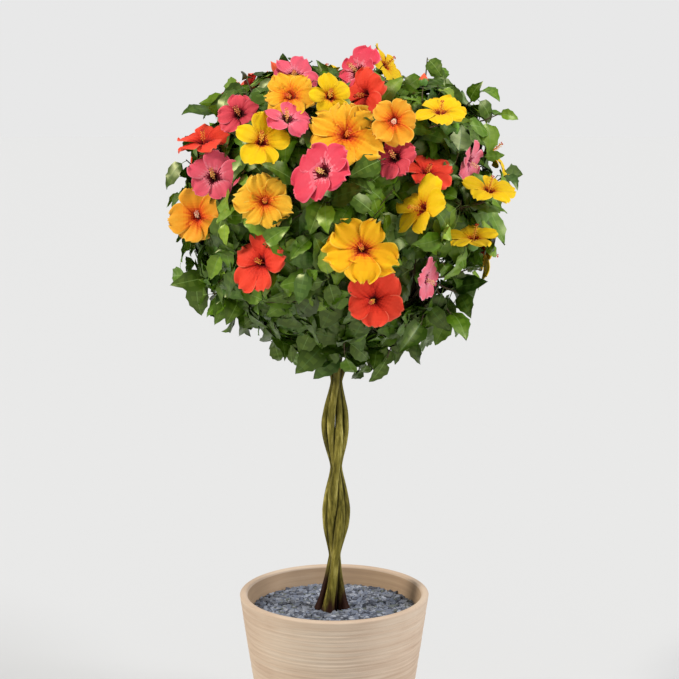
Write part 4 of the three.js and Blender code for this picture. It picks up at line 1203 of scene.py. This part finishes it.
# Hibiscus leaves: smooth and waxy, so they are glossy, from deep green to yellow-green by spray, and a little
# lighter higher up as painted light
leafGloss = {"Roughness": 0.36, "IOR": 1.45, "Specular IOR Level": 0.85,
             "Specular Tint": (0.94, 0.98, 0.5, 1)}
leafTones = (("Deep", "1f3a06"), ("Dark", "2f4b08"), ("Mid", "3c5a08"), ("Cool", "36581a"),
             ("Fresh", "50760e"), ("Bright", "688a18"), ("Olive", "6b7412"), ("Young", "8aa82c"))
toneNames = [tone for tone, colour in leafTones]
leafFinishes = [newFinish("waxyLeaf" + tone, colour, leafGloss) for tone, colour in leafTones]
leafFinishes += [newFinish("veinedLeaf" + tone, blendHex(colour, "c8d880", 0.13), leafGloss)
                 for tone, colour in leafTones]
leafFinishes += [newFinish(name, colour, {"Roughness": 0.5}) for name, colour in (
    ("paleMidrib", "7a9a44"), ("darkMidrib", "4c6e26"), ("leafStalk", "62792f"))]
toneCount = len(leafTones)  # a blade's veined tone comes this far after its plain one
paleMidrib, darkMidrib, leafStalk = [2 * toneCount + k for k in range(3)]
paleRibbed = ("Mid", "Fresh", "Bright", "Young")
sprayTones = [toneNames.index(tone) for tone in (
    "Deep", "Dark", "Dark", "Mid", "Dark", "Cool", "Mid", "Fresh", "Mid", "Fresh", "Bright", "Olive")]
toneMix = {
    "bySpray": 0.8, "litByRise": 0.06, "byLeaf": 2.4, "youngTips": 0.3, "youngFrom": -0.5, "youngest": 0.6,
}


# Every leaf of a spray takes its tone, or one near it, and some tips are young. Higher sprays lean to lighter
# tones: painted light from above.
def toneOf(shoot, k, count):
    seed, rise = shoot["seed"], shoot["way"].z
    # leaves higher on the head pick lighter tones, as painted light from above
    pick = chance(seed, 31) * toneMix["bySpray"] + toneMix["litByRise"] * (0.5 + 0.5 * rise)
    if k == count - 1 and chance(seed, 33) < toneMix["youngTips"] and rise > toneMix["youngFrom"]:
        return toneNames.index("Young" if pick > toneMix["youngest"] else "Bright")
    at = pick * len(sprayTones) + toneMix["byLeaf"] * (chance(seed, 34 + k) - 0.5)
    return sprayTones[int(min(len(sprayTones) - 1, max(0, at)))]


viewerWay = direction(0, 4)  # the side from which the plant is mostly seen, where leaves part before a bloom
bloomSpace = {
    "ahead": 90, "level": 4, "behind": 34, "width": 0.9, "backWidth": 0.95, "narrowing": 40,
    "sight": 200, "sightWidth": 0.78,
}


# True for a point before a bloom or among its petals, or between a front bloom and the usual viewpoint
def hidesBloom(point):
    level = -bloomSpace["level"] * mm
    for b in blooms:
        gap = point - b["centre"]
        out = gap.dot(b["facing"])
        aside = (gap - b["facing"] * out).length
        if level < out < bloomSpace["ahead"] * mm and aside < b["radius"] * bloomSpace["width"]:
            return True
        backWidth = bloomSpace["backWidth"] + out / (bloomSpace["narrowing"] * mm)
        if -bloomSpace["behind"] * mm < out <= level and aside < b["radius"] * backWidth:
            return True
        if b["front"]:
            away = gap.dot(viewerWay)
            beside = (gap - viewerWay * away).length
            if 0 < away < bloomSpace["sight"] * mm and beside < b["radius"] * bloomSpace["sightWidth"]:
                return True
    return False


# Seats taken by leaves, kept by cell, so that only the cells round a new one are looked through
cellSize = leafSize["apart"] * mm
seats = {}


def cellOf(point):
    return tuple(int(c // cellSize) for c in point)


def crowdedAt(point):
    near = product(*((number - 1, number, number + 1) for number in cellOf(point)))
    return any((other - point).length < cellSize for cell in near for other in seats.get(cell, ()))


# How far out a leaf's tip may reach: less on the lower side and on top, where the head is trimmer
def leafLimit(shoot):
    limit, rise = shoot["limit"], shoot["way"].z
    if shoot["stray"]:
        return limit
    low = ease(*leafSize["lowBand"], -rise) * (1 - ease(*leafSize["underBand"], -rise))
    high = ease(*leafSize["topBand"], rise)
    return limit + (leafSize["lowLimit"] - limit) * low + (leafSize["topLimit"] - limit) * high


# A leaf takes the first seat round its node that is free. Blades lie over the head like shingles.
def seatLeaf(shoot, k, count):
    seed, outward, limit = shoot["seed"], headNormal(shoot["way"]), leafLimit(shoot)
    low, high = shoot["nodes"]
    base, axis = alongPath(shoot["path"], low + (high - low) * k / max(1, count - 1))
    first = axis.cross(upward).normalized() if abs(axis.z) < 0.98 else Vector((1, 0, 0))
    second = axis.cross(first).normalized()
    atTip = k == count - 1 and not shoot["bloom"]
    size = between(leafSize["least"], leafSize["most"], chance(seed, 10 + k))
    size *= leafSize["length"] * (leafSize["tipLeaf"] if atTip else 1)
    for attempt in range(leafSize["tries"]):
        usualTilt = leafSize["tilts"][attempt % len(leafSize["tilts"])]
        tilt = math.radians(leafSize["tipTilt"] if atTip and attempt < 3 else usualTilt)
        turn = goldenAngle * (k + 3 * seed) + fullTurn * attempt / leafSize["tries"]
        along = axis * math.cos(tilt) + (first * math.cos(turn) + second * math.sin(turn)) * math.sin(tilt)
        along.z -= leafSize["sag"] * (0.6 + 0.8 * chance(seed, 20 + k))
        if not atTip:
            along -= outward * leafSize["flatten"] * max(0, along.dot(outward) - leafSize["flat"])
        along.normalize()
        shake = Vector([chance(seed, offset + k) - 0.5 for offset in (50, 60, 70)])
        face = outward + upward * leafSize["up"] + shake * leafSize["turned"]
        if shoot["stray"]:  # a leaf that stands out on the rim shows its blade
            face = viewerWay + upward * leafSize["strayUp"] + shake * leafSize["strayTurned"]
        face -= along * face.dot(along)
        if face.length < 0.15:
            face = first.copy()
        face.normalize()
        tip = base + along * size * 1.1 * mm - face * size * 0.3 * mm  # the blade arches down to it
        middle = base.lerp(tip, 0.6)
        if headShare(tip) > limit or crowdedAt(middle):
            continue
        aside = along.cross(face) * size * leafSize["broad"] * mm
        spots = (middle, tip, base.lerp(tip, 0.35), middle + aside, middle - aside)
        if any(hidesBloom(spot) for spot in spots):
            continue
        seats.setdefault(cellOf(middle), []).append(middle)
        place = Matrix.Translation(base) @ Matrix((along.cross(face), along, face)).transposed().to_4x4()
        return place @ Matrix.Scale(size * mm, 4)
    return None


leafStamps = {}
for shoot in shoots + twigs:
    for k in range(shoot["leaves"]):
        place = seatLeaf(shoot, k, shoot["leaves"])
        if not place:
            continue
        tone = toneOf(shoot, k, shoot["leaves"])
        rib = paleMidrib if toneNames[tone] in paleRibbed else darkMidrib
        shape = leafShapes[int(chance(shoot["seed"], 80 + k) * len(leafShapes))]
        half = "Front" if shoot["way"].y < 0 else "Back"
        ring = shoot["mass"]["ring"]
        group = "Top" if ring == "top" else ring.capitalize() + half
        leafStamps.setdefault(group, []).append((shape, place, [tone, rib, leafStalk, tone + toneCount]))
for group, stamps in leafStamps.items():
    stoodFor = ["mass_" + mass["name"] for mass in masses if group.lower().startswith(mass["ring"])]
    keepPiece("leaves" + group, plantOut("leaves" + group, stamps), leafFinishes, stoodFor)
leafTotal = sum(len(stamps) for stamps in leafStamps.values())
print(f"{leafTotal} leaves on {len(twigs)} twigs and {len(shoots)} shoots")

# Buds: rolled petals in a green calyx, at the tips of some twigs that stand out
budSize = {
    "shapes": 4, "length": 34, "shortest": 0.7, "longer": 0.4, "thick": 8.5, "columns": 12, "rows": 9,
    "share": 0.27, "farthest": 0.86, "lowest": 0.1, "reach": 1.03, "up": 0.4,
}
budColours = ("f0c020", "dc3a24", "e8603e", "e24e70", "6f9a34", "f08a2a")


def makeBud(seed):
    bm = bmesh.new()
    length = budSize["length"] * (budSize["shortest"] + budSize["longer"] * chance(seed, 1))
    pleats = 0.16 + 0.1 * chance(seed, 2)

    def place(across, along):
        turn = fullTurn * across
        r = budSize["thick"] * math.sin(math.pi * min(1, 0.06 + along) ** 0.8) ** 0.8
        r *= 1 + pleats * math.sin(5 * turn + 4 * along) * ease(0.3, 0.6, along)
        return around(r, turn, length * along) * mm

    def slotOf(across, along):  # five green sepals, then the petals
        return 0 if along < 0.34 + 0.14 * abs(math.sin(5 * math.pi * across)) else 1

    shapeSheet(bm, budSize["columns"], budSize["rows"], place, slotOf)
    bmesh.ops.remove_doubles(bm, verts=bm.verts, dist=sewn)
    return takeShape(bm)


budShapes = [makeBud(70 + k) for k in range(budSize["shapes"])]
budStamps = []
for twig in twigs:
    if twig["share"] < budSize["farthest"] or chance(twig["seed"], 98) > budSize["share"]:
        continue
    end, axis = twig["path"][-1], (twig["path"][-1] - twig["path"][-2]).normalized()
    spots = (end, end + axis * budSize["length"] * mm)
    if twig["way"].z < budSize["lowest"] or headShare(spots[1]) > budSize["reach"]:
        continue
    if any(hidesBloom(spot) for spot in spots):
        continue
    place = Matrix.Translation(end) @ standingOn((axis + upward * budSize["up"]).normalized())
    tone = 1 + int(chance(twig["seed"], 97) * len(budColours))
    budStamps.append((budShapes[twig["seed"] % len(budShapes)], place, [0, tone]))
budFinishes = [calyxGreen] + [newFinish(f"rolledBud{number}", colour, petalGloss)
                              for number, colour in enumerate(budColours)]
keepPiece("hibiscusBuds", plantOut("hibiscusBuds", budStamps), budFinishes)
print(f"{len(budStamps)} buds")
